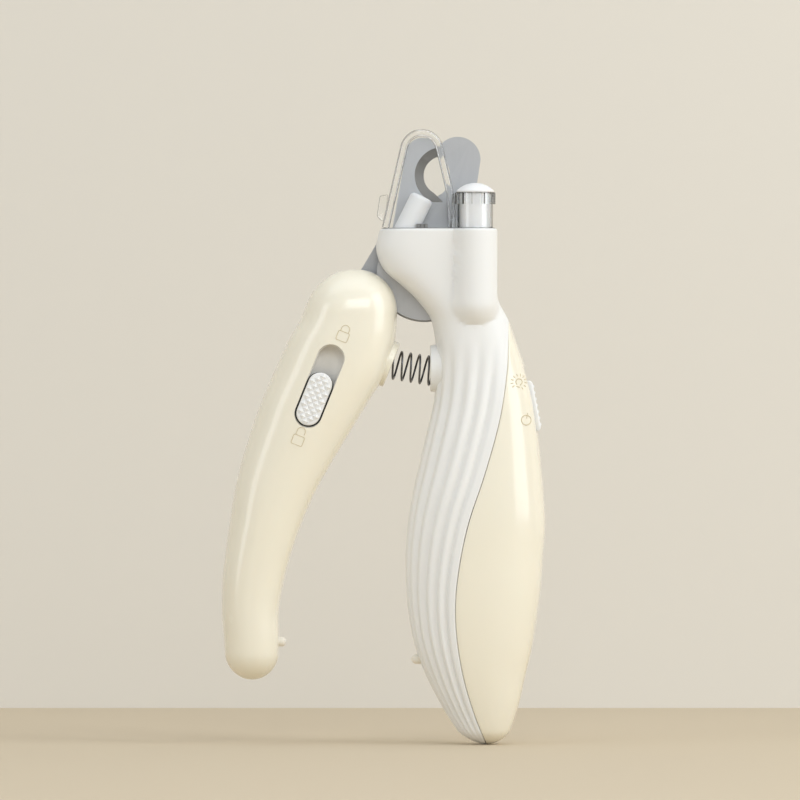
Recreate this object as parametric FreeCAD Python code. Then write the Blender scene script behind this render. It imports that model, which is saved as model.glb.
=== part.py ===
import FreeCAD, Part
import math
import os

# Pet nail trimmer: two-lever scissor clipper with a lit, guarded cutting eye.
# Frame, in millimetres: +Z up towards the blades, +X from the squeezed lever towards the grip, Y through the
# thickness with the window and the lock button on the -Y side. The origin lies below the middle of the open
# tool, at the height of the grip's tip. The lever is open at rest.

V = FreeCAD.Vector
AXIS_X = V(1, 0, 0)
AXIS_Y = V(0, 1, 0)
AXIS_Z = V(0, 0, 1)

# ---- driving dimensions ----
pivot_x = 7.9
pivot_z = 91.8
deck_z = 100.4          # flat top of the head
wall = 1.6              # moulded wall thickness
blade_t = 1.65          # steel plate thickness
blade_gap = 0.05        # each plate stands this far off the middle plane
running = 0.05          # radial clearance of turning fits

# Body sections: height, middle x, half width, half depth, squareness of the section
body_sections = [
    (0.0, 20.1, 3.3, 3.4, 2.2),
    (3.0, 19.5, 5.3, 5.0, 2.2),
    (7.6, 18.8, 7.5, 6.6, 2.3),
    (13.5, 17.95, 9.7, 8.1, 2.3),
    (19.3, 17.55, 11.45, 9.1, 2.4),
    (25.2, 17.45, 12.5, 9.8, 2.4),
    (31.0, 17.55, 13.15, 10.2, 2.4),
    (36.9, 17.7, 13.4, 10.4, 2.4),
    (42.7, 18.1, 13.4, 10.5, 2.4),
    (48.6, 18.4, 12.8, 10.4, 2.4),
    (54.4, 18.8, 11.9, 10.1, 2.4),
    (60.3, 19.2, 10.9, 9.7, 2.4),
    (67.1, 19.5, 9.65, 9.1, 2.4),
    (72.9, 18.95, 8.75, 8.5, 2.4),
    (77.8, 18.1, 7.95, 8.1, 2.5),
    (82.7, 16.75, 7.55, 7.8, 2.6),
    (86.4, 14.5, 7.9, 7.7, 2.8),
    (89.2, 12.9, 9.2, 7.7, 3.0),
    (92.4, 11.1, 11.0, 7.8, 3.2),
    (96.3, 10.35, 11.8, 7.9, 3.4),
    (deck_z, 10.65, 11.45, 7.9, 3.4),
]
body_tip_round = 2.6    # height over which the grip's tip rounds off

# Lever sections, in the same columns
lever_sections = [
    (12.6, -25.6, 5.0, 5.9, 2.2),
    (20.3, -25.75, 5.35, 6.6, 2.3),
    (26.1, -25.95, 5.55, 6.9, 2.3),
    (32.0, -25.4, 6.0, 7.2, 2.4),
    (37.8, -24.3, 6.5, 7.6, 2.4),
    (43.7, -22.8, 7.1, 8.0, 2.4),
    (49.5, -21.05, 7.95, 8.3, 2.5),
    (55.4, -18.7, 8.9, 8.6, 2.5),
    (61.2, -16.05, 9.75, 8.9, 2.5),
    (67.1, -13.2, 10.5, 9.1, 2.6),
    (72.9, -10.2, 11.0, 9.2, 2.6),
    (78.8, -8.1, 10.4, 9.1, 2.6),
    (84.0, -6.5, 9.2, 8.8, 2.5),
    (92.8, -5.5, 8.8, 8.3, 2.4),
]
lever_tip_round = 5.2
lever_top_round = 8.8

# Line between the white body and the cream grip cover, top to bottom
seam_points = [(24.4, 84.5), (24.35, 77.8), (24.0, 72.0), (22.6, 63.2), (19.6, 52.5), (16.3, 42.6),
               (14.2, 31.5), (14.0, 23.0), (15.3, 14.0), (17.6, 6.0), (20.3, -0.6)]

# Lamp barrel on the front right of the head
lamp_x = 17.8
lamp_y = -6.2
barrel_r = 4.3
lamp_tube_r = 3.4
sleeve_r = 3.95
barrel_low_z = 86.0     # centre of the barrel's round lower end
lamp_rim_z = 107.5

# Nail light, a leaning tube behind the window
light_r = 2.1
light_lean = 26.5       # degrees from upright
light_foot = (3.75, -4.25, 98.6)
light_length = 9.0

# Guard
guard_front_y = -7.5
guard_back_y = -2.05
guard_wall = 1.45
window_t = 0.9
arch_x = 7.4
arch_z = 115.4
arch_r = 4.25
guard_lift = 0.15       # gap under the guard

# Blades
hub_r = 9.2
eye_x = 11.6            # centre of the fixed blade's notch
eye_z = 110.8
eye_r = 3.8
eye_bevel = 1.75
hook_x = 7.4
hook_z = 115.1
hook_r = 3.0
lobe_x = 14.4
lobe_z = 113.9
lobe_r = 4.5
mouth_x = 8.3           # centre of the moving blade's notch
mouth_r = 4.65
pivot_r = 1.6
peg_r = 1.1
peg_spots = [(14.2, 96.6), (2.4, 95.6)]

# Return spring and its cups
cup_r = 4.6
cup_bore_r = 3.95
cup_depth = 4.2
body_cup_x = 9.1        # face of the cup on the grip
body_cup_z = 73.3
lever_cup_x = 1.6       # middle of the face of the cup on the lever
lever_cup_z = 73.9
lever_cup_tilt = 22.0   # degrees that the lever's cup points below level
coil_r = 2.75
wire_r = 0.25
coil_turns = 8

# Lock
lock_x = -12.4          # middle of the lock's slot
lock_z = 69.8
lock_lean = 22.0        # degrees from upright
slot_w = 5.4
slot_len = 17.0
button_w = 4.9
button_len = 10.8
lock_travel = 5.4
bar_w = 2.0
stem_shift = -2.6       # the stem stands below the button's middle, so the button hides its opening
bar_low = -7.4          # ends of the lock bar along the slot's line
bar_high = 15.6
lock_catch = [(0.0, 88.0), (-3.4, 88.3), (-5.45, 83.35), (-4.35, 83.1), (-4.3, 84.9), (-3.3, 85.75),
              (-0.5, 85.9), (1.5, 86.5)]   # hook on the fixed blade that the closed lever's bar rises behind
sweep_r = 16.3          # reach of the slot in the lever that clears the hook

# Light switch on the grip cover's edge
switch_x = 29.35
switch_z = 66.0
switch_lean = -10.6     # degrees from upright
switch_len = 10.0
switch_w = 5.6
switch_travel = 2.6
switch_pocket = 0.9     # depth of the flat pocket

# Power cells
cell_r = 5.8
cell_h = 5.4
cell_x = 21.6
cell_low_z = 30.0
door_box = (18.6, 28.4, 24.6, 50.6)   # left, right, low, high

os.makedirs("parts", exist_ok=True)


def save(name, shape):
    """Write one node, as its clean solids."""
    solids = shape.Solids
    if len(solids) > 1:
        shape = Part.makeCompound(solids)
    else:
        shape = solids[0]
    shape.exportStep("parts/" + name + ".step")
    print(name, len(solids), round(shape.Volume, 1), shape.isValid())


def value_at(sections, column, z):
    """A smooth curve through one column of a table of sections."""
    zs = [row[0] for row in sections]
    vs = [row[column] for row in sections]
    z = min(max(z, zs[0]), zs[-1])
    i = 0
    while i < len(zs) - 2 and z > zs[i + 1]:
        i += 1

    def slope(k):
        low = max(k - 1, 0)
        high = min(k + 1, len(zs) - 1)
        return (vs[high] - vs[low]) / (zs[high] - zs[low])

    h = zs[i + 1] - zs[i]
    t = (z - zs[i]) / h
    rise = 3 * t * t - 2 * t ** 3
    bend = h * (slope(i) * t * (1 - t) ** 2 - slope(i + 1) * t * t * (1 - t))
    return vs[i] + (vs[i + 1] - vs[i]) * rise + bend


def section_wire(middle_x, half_width, half_depth, square, z):
    """A closed round-cornered section in a level plane."""
    points = []
    count = 28
    for k in range(count):
        a = 2 * math.pi * k / count
        reach = abs(math.cos(a) / half_width) ** square + abs(math.sin(a) / half_depth) ** square
        r = reach ** (-1 / square)
        points.append(V(middle_x + r * math.cos(a), r * math.sin(a), z))
    curve = Part.BSplineCurve()
    curve.interpolate(Points=points, PeriodicFlag=True)
    return Part.Wire([curve.toShape()])


def round_factor(z, low, high, low_round, high_round):
    """1 along the length, falling as a quarter ellipse to 0 at each rounded end."""
    factor = 1.0
    for depth, length in ((z - low, low_round), (high - z, high_round)):
        if length and depth < length:
            factor *= math.sqrt(max(1 - (1 - depth / length) ** 2, 0.0))
    return factor


def lofted(sections, low, high, low_round, high_round, inset, heights):
    """A solid through level sections, moved in by the inset."""
    wires = []
    for z in heights:
        f = round_factor(z, low, high, low_round, high_round)
        wires.append(section_wire(
            value_at(sections, 1, z),
            max(value_at(sections, 2, z) * f - inset, 0.35),
            max(value_at(sections, 3, z) * f - inset, 0.35),
            value_at(sections, 4, z),
            z))
    return Part.makeLoft(wires, True, False)


def end_heights(end, length, sign):
    """Heights that close in towards a rounded end."""
    return [end + sign * length * (1 - math.cos(a * math.pi / 2)) for a in (0.24, 0.45, 0.7, 0.95)]


def cylinder(x, y, z, r, h, direction=AXIS_Z):
    return Part.makeCylinder(r, h, V(x, y, z), direction)


def block(x0, x1, y0, y1, z0, z1):
    return Part.makeBox(x1 - x0, y1 - y0, z1 - z0, V(x0, y0, z0))


def outline_face(edges):
    return Part.Face(Part.Wire(Part.__sortEdges__(edges)))


def line(a, b):
    return Part.LineSegment(V(a[0], 0, a[1]), V(b[0], 0, b[1])).toShape()


def arc(a, b, c):
    return Part.Arc(V(a[0], 0, a[1]), V(b[0], 0, b[1]), V(c[0], 0, c[1])).toShape()


def polygon(points, y0, y1):
    """A prism through the thickness on a polygon of (x, z) points."""
    wire = Part.makePolygon([V(x, y0, z) for x, z in points + points[:1]])
    return Part.Face(wire).extrude(V(0, y1 - y0, 0))


def obround(x, z, length, width, lean, y0, y1):
    """A prism with two round ends, leaning from upright in the XZ plane, positive towards +X."""
    half = (length - width) / 2
    r = width / 2
    shape = block(x - r, x + r, y0, y1, z - half, z + half)
    for end in (z - half, z + half):
        shape = shape.fuse(cylinder(x, y0, end, r, y1 - y0, AXIS_Y))
    shape = shape.removeSplitter()
    shape.rotate(V(x, 0, z), AXIS_Y, lean)
    return shape


def leaning(x, z, lean, along, across=0.0):
    """The (x, z) point at a distance along and across a direction that leans from upright."""
    a = math.radians(lean)
    return (x + along * math.sin(a) + across * math.cos(a), z + along * math.cos(a) - across * math.sin(a))


def polar(angle, r):
    """The (x, z) point at an angle about the pivot, anticlockwise from +X."""
    a = math.radians(angle)
    return (pivot_x + r * math.cos(a), pivot_z + r * math.sin(a))


def routed(points, r):
    """A round wire along straight runs joined by tangent arcs."""
    edges = []
    start = V(*points[0])
    for k in range(1, len(points) - 1):
        a = V(*points[k - 1])
        b = V(*points[k])
        c = V(*points[k + 1])
        u = (a - b).normalize()
        w = (c - b).normalize()
        turn = math.pi - u.getAngle(w)
        trim = 0.45 * min((a - b).Length, (c - b).Length)
        enter = b + u * trim
        leave = b + w * trim
        middle_way = (u + w).normalize()
        radius = trim / math.tan(turn / 2)
        centre_distance = math.hypot(trim, radius)
        middle = b + middle_way * (centre_distance - radius)
        edges.append(Part.LineSegment(start, enter).toShape())
        edges.append(Part.Arc(enter, middle, leave).toShape())
        start = leave
    edges.append(Part.LineSegment(start, V(*points[-1])).toShape())
    path = Part.Wire(edges)
    first = (V(*points[1]) - V(*points[0])).normalize()
    ring = Part.Wire([Part.makeCircle(r, V(*points[0]), first)])
    return path.makePipeShell([ring], True, True)


# ---- plates ----

def fixed_plate():
    """Front blade: hook over the nail, bevelled notch, hub and the tooth that the lock bar drops behind."""
    y0 = -blade_gap - blade_t
    left_low = (1.0, deck_z - 4.0)
    left_high = (4.45, 115.7)
    tip_out = (10.6, 116.4)
    tip_in = (10.6, 114.46)
    notch_left = (eye_x - eye_r, eye_z)
    notch_low = (9.75, 107.48)
    shoulder = (11.85, 105.4)
    right_low = (12.9, deck_z - 3.0)
    hub_left = polar(150, hub_r)
    hub_right = polar(40, hub_r)
    hub_low = polar(-90, hub_r)
    face = outline_face([
        line(hub_left, left_low),
        line(left_low, left_high),
        arc(left_high, (hook_x - 0.1, hook_z + hook_r), (9.9, 117.1)),
        line((9.9, 117.1), tip_out),
        line(tip_out, tip_in),
        arc(tip_in, notch_left, notch_low),
        line(notch_low, shoulder),
        line(shoulder, right_low),
        line(right_low, hub_right),
        arc(hub_right, hub_low, hub_left),
    ])
    plate = face.extrude(V(0, blade_t, 0))
    plate.translate(V(0, y0, 0))
    bevel = Part.makeCone(eye_r + eye_bevel, eye_r, blade_t - 0.15, V(eye_x, y0, eye_z), AXIS_Y)
    keep_shank = block(-5, eye_x + 8, y0 - 1, 1, 90, 105.6)
    plate = plate.cut(bevel.cut(keep_shank))
    catch = polygon(lock_catch, y0, y0 + blade_t)
    plate = plate.fuse(catch).removeSplitter()
    plate = plate.cut(cylinder(pivot_x, y0 - 1, pivot_z, pivot_r + running, 5, AXIS_Y))
    for x, z in peg_spots:
        plate = plate.cut(cylinder(x, y0 - 1, z, peg_r + running, 5, AXIS_Y))
    return plate


def moving_plate():
    """Back blade: lobe with its own notch, hub, and the tang that the lever's shells clamp."""
    y0 = blade_gap
    notch_top = (10.15, 115.06)
    notch_right = (mouth_x + mouth_r, eye_z)
    notch_low = (9.9, 106.44)
    shank_left = (5.6, deck_z - 1.0)
    hub_left_high = polar(128, hub_r)
    edge_high = (-1.35, 97.6)
    edge_low = (-4.2, 92.8)
    tang_left = (-12.4, 81.4)
    tang_foot_left = (-13.4, 66.2)
    tang_foot_right = (-10.6, 61.8)
    tang_foot_edge = (-6.4, 63.4)
    tang_cup_low = (-5.1, 71.3)
    tang_cup_high = (-1.7, 80.3)
    tang_right = (-1.6, 82.6)
    hub_low_left = polar(236, hub_r + 0.3)
    hub_low = polar(-90, hub_r + 0.3)
    hub_right = polar(20, hub_r + 0.3)
    shank_right = (16.9, deck_z)
    lobe_right = (lobe_x + lobe_r, lobe_z)
    face = outline_face([
        arc(notch_top, notch_right, notch_low),
        line(notch_low, shank_left),
        line(shank_left, hub_left_high),
        line(hub_left_high, edge_high),
        line(edge_high, edge_low),
        line(edge_low, tang_left),
        line(tang_left, tang_foot_left),
        line(tang_foot_left, tang_foot_right),
        line(tang_foot_right, tang_foot_edge),
        line(tang_foot_edge, tang_cup_low),
        line(tang_cup_low, tang_cup_high),
        line(tang_cup_high, tang_right),
        line(tang_right, hub_low_left),
        arc(hub_low_left, hub_low, hub_right),
        line(hub_right, shank_right),
        line(shank_right, lobe_right),
        arc(lobe_right, (lobe_x, lobe_z + lobe_r), notch_top),
    ])
    plate = face.extrude(V(0, blade_t, 0))
    plate.translate(V(0, y0, 0))
    bevel = Part.makeCone(mouth_r, mouth_r + 1.4, blade_t - 0.15, V(mouth_x, y0 + 0.15, eye_z), AXIS_Y)
    keep_shank = block(-5, 9.4, y0 - 1, y0 + 4, 90, 108.0)
    plate = plate.cut(bevel.cut(keep_shank))
    plate = plate.cut(cylinder(pivot_x, y0 - 1, pivot_z, pivot_r + running, 5, AXIS_Y))
    for x, z in tang_spots:
        plate = plate.cut(cylinder(x, y0 - 1, z, 1.05, 5, AXIS_Y))
    return plate


tang_spots = [(-9.8, 81.6), (-8.9, 64.4)]
body_screw_spots = [(19.0, 88.4), (12.4, 55.0), (12.4, 14.4)]
body_screw_ends = (-2.5, -4.4, -4.4)    # the first one stops short of the lamp tube
lever_screw_spots = [(-26.0, 22.6), (-22.6, 46.6)]


# ---- outer forms ----

body_heights = ([0.02] + end_heights(0.0, body_tip_round, 1)
                + [row[0] for row in body_sections if row[0] > body_tip_round + 1.5])
body_form = lofted(body_sections, 0.0, 200.0, body_tip_round, 0, 0.0, body_heights)
inner_heights = [3.2, 5.2] + [row[0] for row in body_sections if 7 < row[0] < deck_z - 1] + [deck_z - wall]
body_hollow = lofted(body_sections, 0.0, 200.0, body_tip_round, 0, wall, inner_heights)

barrel = cylinder(lamp_x, lamp_y, barrel_low_z, barrel_r, deck_z - barrel_low_z)
barrel = barrel.fuse(Part.makeSphere(barrel_r, V(lamp_x, lamp_y, barrel_low_z)))
lamp_seat = cylinder(lamp_x, lamp_y, barrel_low_z, lamp_tube_r, deck_z - barrel_low_z + 1)

lever_low = lever_sections[0][0]
lever_high = lever_sections[-1][0]
lever_heights = ([lever_low + 0.02] + end_heights(lever_low, lever_tip_round, 1)
                 + [row[0] for row in lever_sections if 19 < row[0] < 82]
                 + end_heights(lever_high, lever_top_round, -1)[::-1] + [lever_high - 0.02])
lever_form = lofted(lever_sections, lever_low, lever_high, lever_tip_round, lever_top_round,
                    0.0, lever_heights)
lever_inner = [lever_low + 1.9, 16.0] + [row[0] for row in lever_sections if 19 < row[0] < 82]
lever_inner += [86.2, 89.2, lever_high - 1.8]
lever_hollow = lofted(lever_sections, lever_low, lever_high, lever_tip_round, lever_top_round,
                      wall, lever_inner)

front_half = block(-60, 60, -30, 0, -10, 140)
back_half = block(-60, 60, 0, 30, -10, 140)

# Region to the right of the seam
seam = Part.BSplineCurve()
seam.interpolate(Points=[V(x, -30, z) for x, z in seam_points])
seam_low = V(seam_points[-1][0], -30, seam_points[-1][1])
seam_high = V(seam_points[0][0], -30, seam_points[0][1])
cover_wire = Part.Wire([
    seam.toShape(),
    Part.LineSegment(seam_low, V(50, -30, seam_low.z)).toShape(),
    Part.LineSegment(V(50, -30, seam_low.z), V(50, -30, seam_high.z)).toShape(),
    Part.LineSegment(V(50, -30, seam_high.z), seam_high).toShape(),
])
cover_region = Part.Face(cover_wire).extrude(V(0, 60, 0))

# ---- body shells ----

pivot_head_r = 3.1
slot_half = blade_gap + blade_t + 0.1
plates_slot = block(-6, 20.3, -slot_half, slot_half, 82.0, deck_z + 5)
head_slot = plates_slot.cut(block(9.6, 30, -5, 5, 70, 84.5))
hub_room = cylinder(pivot_x, -slot_half, pivot_z, hub_r + 0.45, 2 * slot_half, AXIS_Y)
head_slot = head_slot.fuse(hub_room).removeSplitter()
cup_seat_body = cylinder(body_cup_x - 0.01, 0, body_cup_z, cup_r, cup_depth + 1.0, AXIS_X)
bumper_body = (6.9, 16.6)
bumper_lever = (-20.4, 20.0)
bumper_r = 0.95

shell = body_form.fuse(barrel).cut(body_hollow)
shell = shell.cut(lamp_seat)
white = shell.cut(cover_region)
white = white.cut(head_slot)
white = white.cut(cup_seat_body)
light_dir = V(math.sin(math.radians(light_lean)), 0, math.cos(math.radians(light_lean)))
light_axis_start = V(*light_foot)
white = white.cut(Part.makeCylinder(light_r + 0.02, 6, light_axis_start - light_dir * 2, light_dir))
white_front = white.common(front_half)
white_back = white.common(back_half)


def add_posts(front, back, form, spots, r, screw_r, meet=0.0):
    """Screw posts: the front one takes the screw's end, the back one is drilled through."""
    for x, z in spots:
        front_post = cylinder(x, -20, z, r, 20 - meet, AXIS_Y).common(form)
        back_post = cylinder(x, meet, z, r, 20, AXIS_Y).common(form)
        front = front.fuse(front_post.cut(cylinder(x, -6, z, screw_r, 8, AXIS_Y)))
        back = back.fuse(back_post).cut(cylinder(x, -1, z, screw_r, 30, AXIS_Y))
    return front, back


white_front, white_back = add_posts(white_front, white_back, body_form.cut(cover_region),
                                    body_screw_spots, 2.4, 0.95)
white_front = white_front.cut(head_slot)
white_back = white_back.cut(head_slot)

# Pivot bosses and the pegs that carry the fixed blade
plate_front_y = -blade_gap - blade_t
plate_back_y = blade_gap + blade_t
boss_front = cylinder(pivot_x, -20, pivot_z, 3.6, 20 + plate_front_y, AXIS_Y).common(body_form)
white_front = white_front.fuse(boss_front)
for x, z in peg_spots:
    seat = cylinder(x, -20, z, 1.9, 20 + plate_front_y, AXIS_Y).common(body_form)
    peg = cylinder(x, plate_front_y - 0.5, z, peg_r, blade_t + 0.45, AXIS_Y)
    white_front = white_front.fuse(seat).fuse(peg)
white_front = white_front.cut(lamp_seat)
white_front = white_front.cut(cylinder(pivot_x, -6.2, pivot_z, pivot_r + 0.02, 8, AXIS_Y))
nut_pocket = cylinder(pivot_x, -5.2, pivot_z, 2.6, 2.6, AXIS_Y)
white_front = white_front.cut(nut_pocket)
boss_back = cylinder(pivot_x, plate_back_y + 0.35, pivot_z, 3.8, 20, AXIS_Y).common(body_form)
white_back = white_back.fuse(boss_back)
white_back = white_back.cut(cylinder(pivot_x, 0, pivot_z, pivot_r + 0.02, 20, AXIS_Y))
white_back = white_back.cut(cylinder(pivot_x, 6.0, pivot_z, pivot_head_r + 0.1, 10, AXIS_Y))
for x, z in body_screw_spots:
    depth = 5.4 if z > 20 else 4.6
    white_back = white_back.cut(cylinder(x, depth, z, 1.95, 12, AXIS_Y))
bumper_hole = cylinder(bumper_body[0] - 2, 0, bumper_body[1], bumper_r, 5, AXIS_X)
white_front = white_front.cut(bumper_hole)
white_back = white_back.cut(bumper_hole)
save("body_front_shell", white_front)
save("body_back_shell", white_back)

# ---- grip cover, battery door and switch pocket ----

cover = shell.common(cover_region)
normal_x = math.cos(math.radians(switch_lean))
normal_z = -math.sin(math.radians(switch_lean))


def on_switch(along, out, length, width, thick):
    """A box by the switch: middle along the slide, height of its low face out of the surface, and size."""
    x, z = leaning(switch_x, switch_z, switch_lean, along)
    x += out * normal_x
    z += out * normal_z
    shape = block(x, x + thick, -width / 2, width / 2, z - length / 2, z + length / 2)
    shape.rotate(V(x, 0, z), AXIS_Y, switch_lean)
    return shape


pad = on_switch(switch_travel / 2, -switch_pocket - 1.4,
                switch_len + switch_travel + 2.6, switch_w + 3.0, 1.4)
pad = pad.common(body_form).common(cover_region)
cover = cover.fuse(pad)
cover = cover.cut(on_switch(switch_travel / 2, -switch_pocket,
                            switch_len + switch_travel + 0.5, switch_w + 0.5, 6))
cover = cover.cut(on_switch(switch_travel / 2, -5, switch_travel + 3.4, 2.2, 6))


def door_shape(grow, y0, y1):
    left, right, low, high = door_box
    r = 2.0 + grow
    prism = block(left - grow, right + grow, y0, y1, low - grow, high + grow)
    edges = [e for e in prism.Edges if abs(e.Vertexes[0].Y - e.Vertexes[1].Y) > 1]
    return prism.makeFillet(r, edges)


door = cover.common(door_shape(0.0, 4.0, 30))
door_hole = (23.5, 48.0)
door = door.cut(cylinder(door_hole[0], 0, door_hole[1], 0.95, 30, AXIS_Y))
door = door.cut(cylinder(door_hole[0], 7.9, door_hole[1], 1.8, 10, AXIS_Y))
cover = cover.cut(door_shape(0.15, 4.0, 30))
save("grip_cover", cover)
save("battery_door", door)

# ---- cells, holder and contacts ----

holder_outer = cylinder(cell_x, 0, cell_low_z - 3.2, cell_r + 1.2, 3 * cell_h + 5.6)
holder_bore = cylinder(cell_x, 0, cell_low_z - 2.2, cell_r + 0.15, 3 * cell_h + 3.6)
holder_mouth = block(0, 60, 1.5, 30, cell_low_z - 2.2, cell_low_z + 3 * cell_h + 1.4)
holder = holder_outer.cut(holder_bore).cut(holder_mouth)
holder_space = lofted(body_sections, 0.0, 200.0, body_tip_round, 0, wall + 0.1,
                      [row[0] for row in body_sections if 15 < row[0] < 62])
holder_post = cylinder(door_hole[0], 2.5, door_hole[1], 1.7, 5.2, AXIS_Y)
holder_link = block(door_hole[0] - 1.7, door_hole[0] + 1.7, -2.0, 4.2, 48.4, 50.2)
holder = holder.common(holder_space)
holder = holder.fuse(holder_link).fuse(holder_post)
holder = holder.cut(cylinder(door_hole[0], 2, door_hole[1], 0.9, 9, AXIS_Y))
holder = holder.removeSplitter()
save("battery_holder", holder)
for k in range(3):
    low = cell_low_z + k * cell_h
    can = cylinder(cell_x, 0, low + 0.35, cell_r, cell_h - 0.4)
    can = can.makeFillet(0.35, [e for e in can.Edges if e.Length > 20])
    cap = cylinder(cell_x, 0, low, cell_r - 1.3, 0.5)
    save("button_cell_%d" % (k + 1), can.fuse(cap))
plate_z = cell_low_z + 3 * cell_h
contact = cylinder(cell_x, 0, plate_z, 4.2, 0.4)
contact = contact.fuse(block(cell_x - 1.2, cell_x + 1.2, -5.0, 0, plate_z, plate_z + 0.4))
contact = contact.removeSplitter().cut(block(0, 60, 2.3, 30, plate_z - 1, plate_z + 1))
save("battery_plate_contact", contact)
coil = Part.makeHelix(0.85, 1.7, 2.6)
coil.translate(V(cell_x, 0, cell_low_z - 2.0))
coil_start = coil.Vertexes[0].Point
ring = Part.Wire([Part.makeCircle(0.22, coil_start, AXIS_Y)])
save("battery_spring_contact", Part.Wire(coil).makePipeShell([ring], True, True))

# ---- circuit board, switch and its slider ----

board_out = -6.4
board = on_switch(0.6, board_out, 19.0, 9.0, 1.0)
for along in (-7.6, 8.6):
    x, z = leaning(switch_x, switch_z, switch_lean, along)
    board = board.cut(cylinder(x - 12, 2.6, z, 0.6, 20, AXIS_X))
save("circuit_board", board)
switch_can = on_switch(switch_travel / 2, board_out + 1.0, 8.6, 3.6, 2.6)
switch_can = switch_can.cut(on_switch(switch_travel / 2, board_out + 2.4, 5.6, 1.7, 3))
save("switch_body", switch_can)
cap = on_switch(0, -switch_pocket + 0.15, switch_len, switch_w, 1.75)
slider_cap = cap.makeFillet(0.3, [e for e in cap.Edges if abs(e.Length - 1.75) < 0.01])
ridges = slider_cap
for k in range(-3, 4):
    ridges = ridges.fuse(on_switch(k * 1.25, -switch_pocket + 1.8, 0.55, switch_w - 0.8, 0.45))
stem = on_switch(0, board_out + 2.6, 2.6, 1.3, 6.4 - 2.6 - switch_pocket + 0.3)
save("switch_slider", ridges.fuse(stem).removeSplitter())

# ---- wires from the board to the lights ----

lamp_wires = [
    routed([(21.7, -2.2, 75.0), (20.6, -3.2, 79.0), (18.6, -4.0, 82.4), (17.3, -4.4, 85.2),
            (17.2, lamp_y, 87.4), (17.2, lamp_y, 90.5)], 0.35),
    routed([(21.7, -1.0, 75.0), (22.0, -2.0, 79.0), (20.4, -3.4, 82.4), (18.5, -4.4, 85.2),
            (18.4, lamp_y, 87.4), (18.4, lamp_y, 90.5)], 0.35),
]
save("lamp_wires", Part.makeCompound(lamp_wires))
light_wires = []
for d in (-0.5, 0.5):
    light_wires.append(routed([(21.7, 1.6 - d, 75.0), (17.6, 0.9 - d, 78.6), (13.4, -4.2 - d, 81.8),
                               (12.4, -5.0 - d, 86.6), (12.9, -5.0 - d, 92.4), (9.0, -4.8 - d, 96.6),
                               (4.2, -4.0 - d, 97.6)], 0.3))
save("nail_light_wires", Part.makeCompound(light_wires))

# ---- lamp ----

tube = cylinder(lamp_x, lamp_y, 88.0, lamp_tube_r - 0.02, lamp_rim_z - 88.0)
tube = tube.cut(cylinder(lamp_x, lamp_y, 93.0, lamp_tube_r - 0.9, 20))
tube = tube.cut(cylinder(lamp_x, lamp_y, 87.0, 1.4, 10))
save("lamp_tube", tube)
lens_rise = 1.8
lens_r = (3.75 ** 2 + lens_rise ** 2) / (2 * lens_rise)
lens = Part.makeSphere(lens_r, V(lamp_x, lamp_y, lamp_rim_z + 0.35 + lens_rise - lens_r))
lens = lens.common(cylinder(lamp_x, lamp_y, lamp_rim_z + 0.35, 5, 6))
lens = lens.fuse(cylinder(lamp_x, lamp_y, lamp_rim_z, 3.75, 0.35))
lens = lens.fuse(cylinder(lamp_x, lamp_y, lamp_rim_z - 2.0, lamp_tube_r - 0.92, 2.1)).removeSplitter()
save("lamp_lens", lens)


def led(point, direction, r, length):
    """A round diode: body, flange and dome."""
    at = V(*point)
    part = Part.makeCylinder(r, length - r, at, direction)
    part = part.fuse(Part.makeCylinder(r + 0.25, 0.7, at, direction))
    return part.fuse(Part.makeSphere(r, at + direction * (length - r))).removeSplitter()


save("lamp_led", led((lamp_x, lamp_y, 96.0), AXIS_Z, 1.5, 5.2))

# ---- nail light ----

foot = V(*light_foot)
light_tube = Part.makeCylinder(light_r, light_length, foot, light_dir)
rim = []
for e in light_tube.Edges:
    if e.Length > 5 and (e.CenterOfMass - foot).dot(light_dir) > light_length - 0.5:
        rim.append(e)
light_tube = light_tube.makeFillet(0.7, rim)
light_bore = Part.makeCylinder(light_r - 0.75, light_length - 1.0, foot - light_dir * 0.2, light_dir)
light_tube = light_tube.cut(light_bore)
save("nail_light_tube", light_tube)
led_at = foot + light_dir * 2.2
save("nail_light_led", led((led_at.x, led_at.y, led_at.z), light_dir, 1.0, 4.2))

# ---- clear guard, hinged on the lamp tube ----

guard_low = deck_z + guard_lift
left_foot = (-0.35, guard_low)
right_knee = (13.7, 107.2)
right_foot = (14.1, guard_low)


def arch_face(inset):
    """The arch outline, moved in by a wall, and down at the foot when inset."""
    drop = 4.0 if inset else 0.0
    c = arch_r - inset
    lt = (arch_x - c * math.cos(math.radians(13.5)), arch_z + c * math.sin(math.radians(13.5)))
    rt = (arch_x + c * math.cos(math.radians(15)), arch_z + c * math.sin(math.radians(15)))
    lf = (left_foot[0] + inset * 1.03 - drop * 0.235, guard_low - drop)
    rk = (right_knee[0] - inset * 1.03, right_knee[1])
    rf = (right_foot[0] - inset, guard_low - drop)
    return outline_face([
        line(lf, lt), arc(lt, (arch_x, arch_z + c), rt), line(rt, rk), line(rk, rf), line(rf, lf),
    ])


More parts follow.
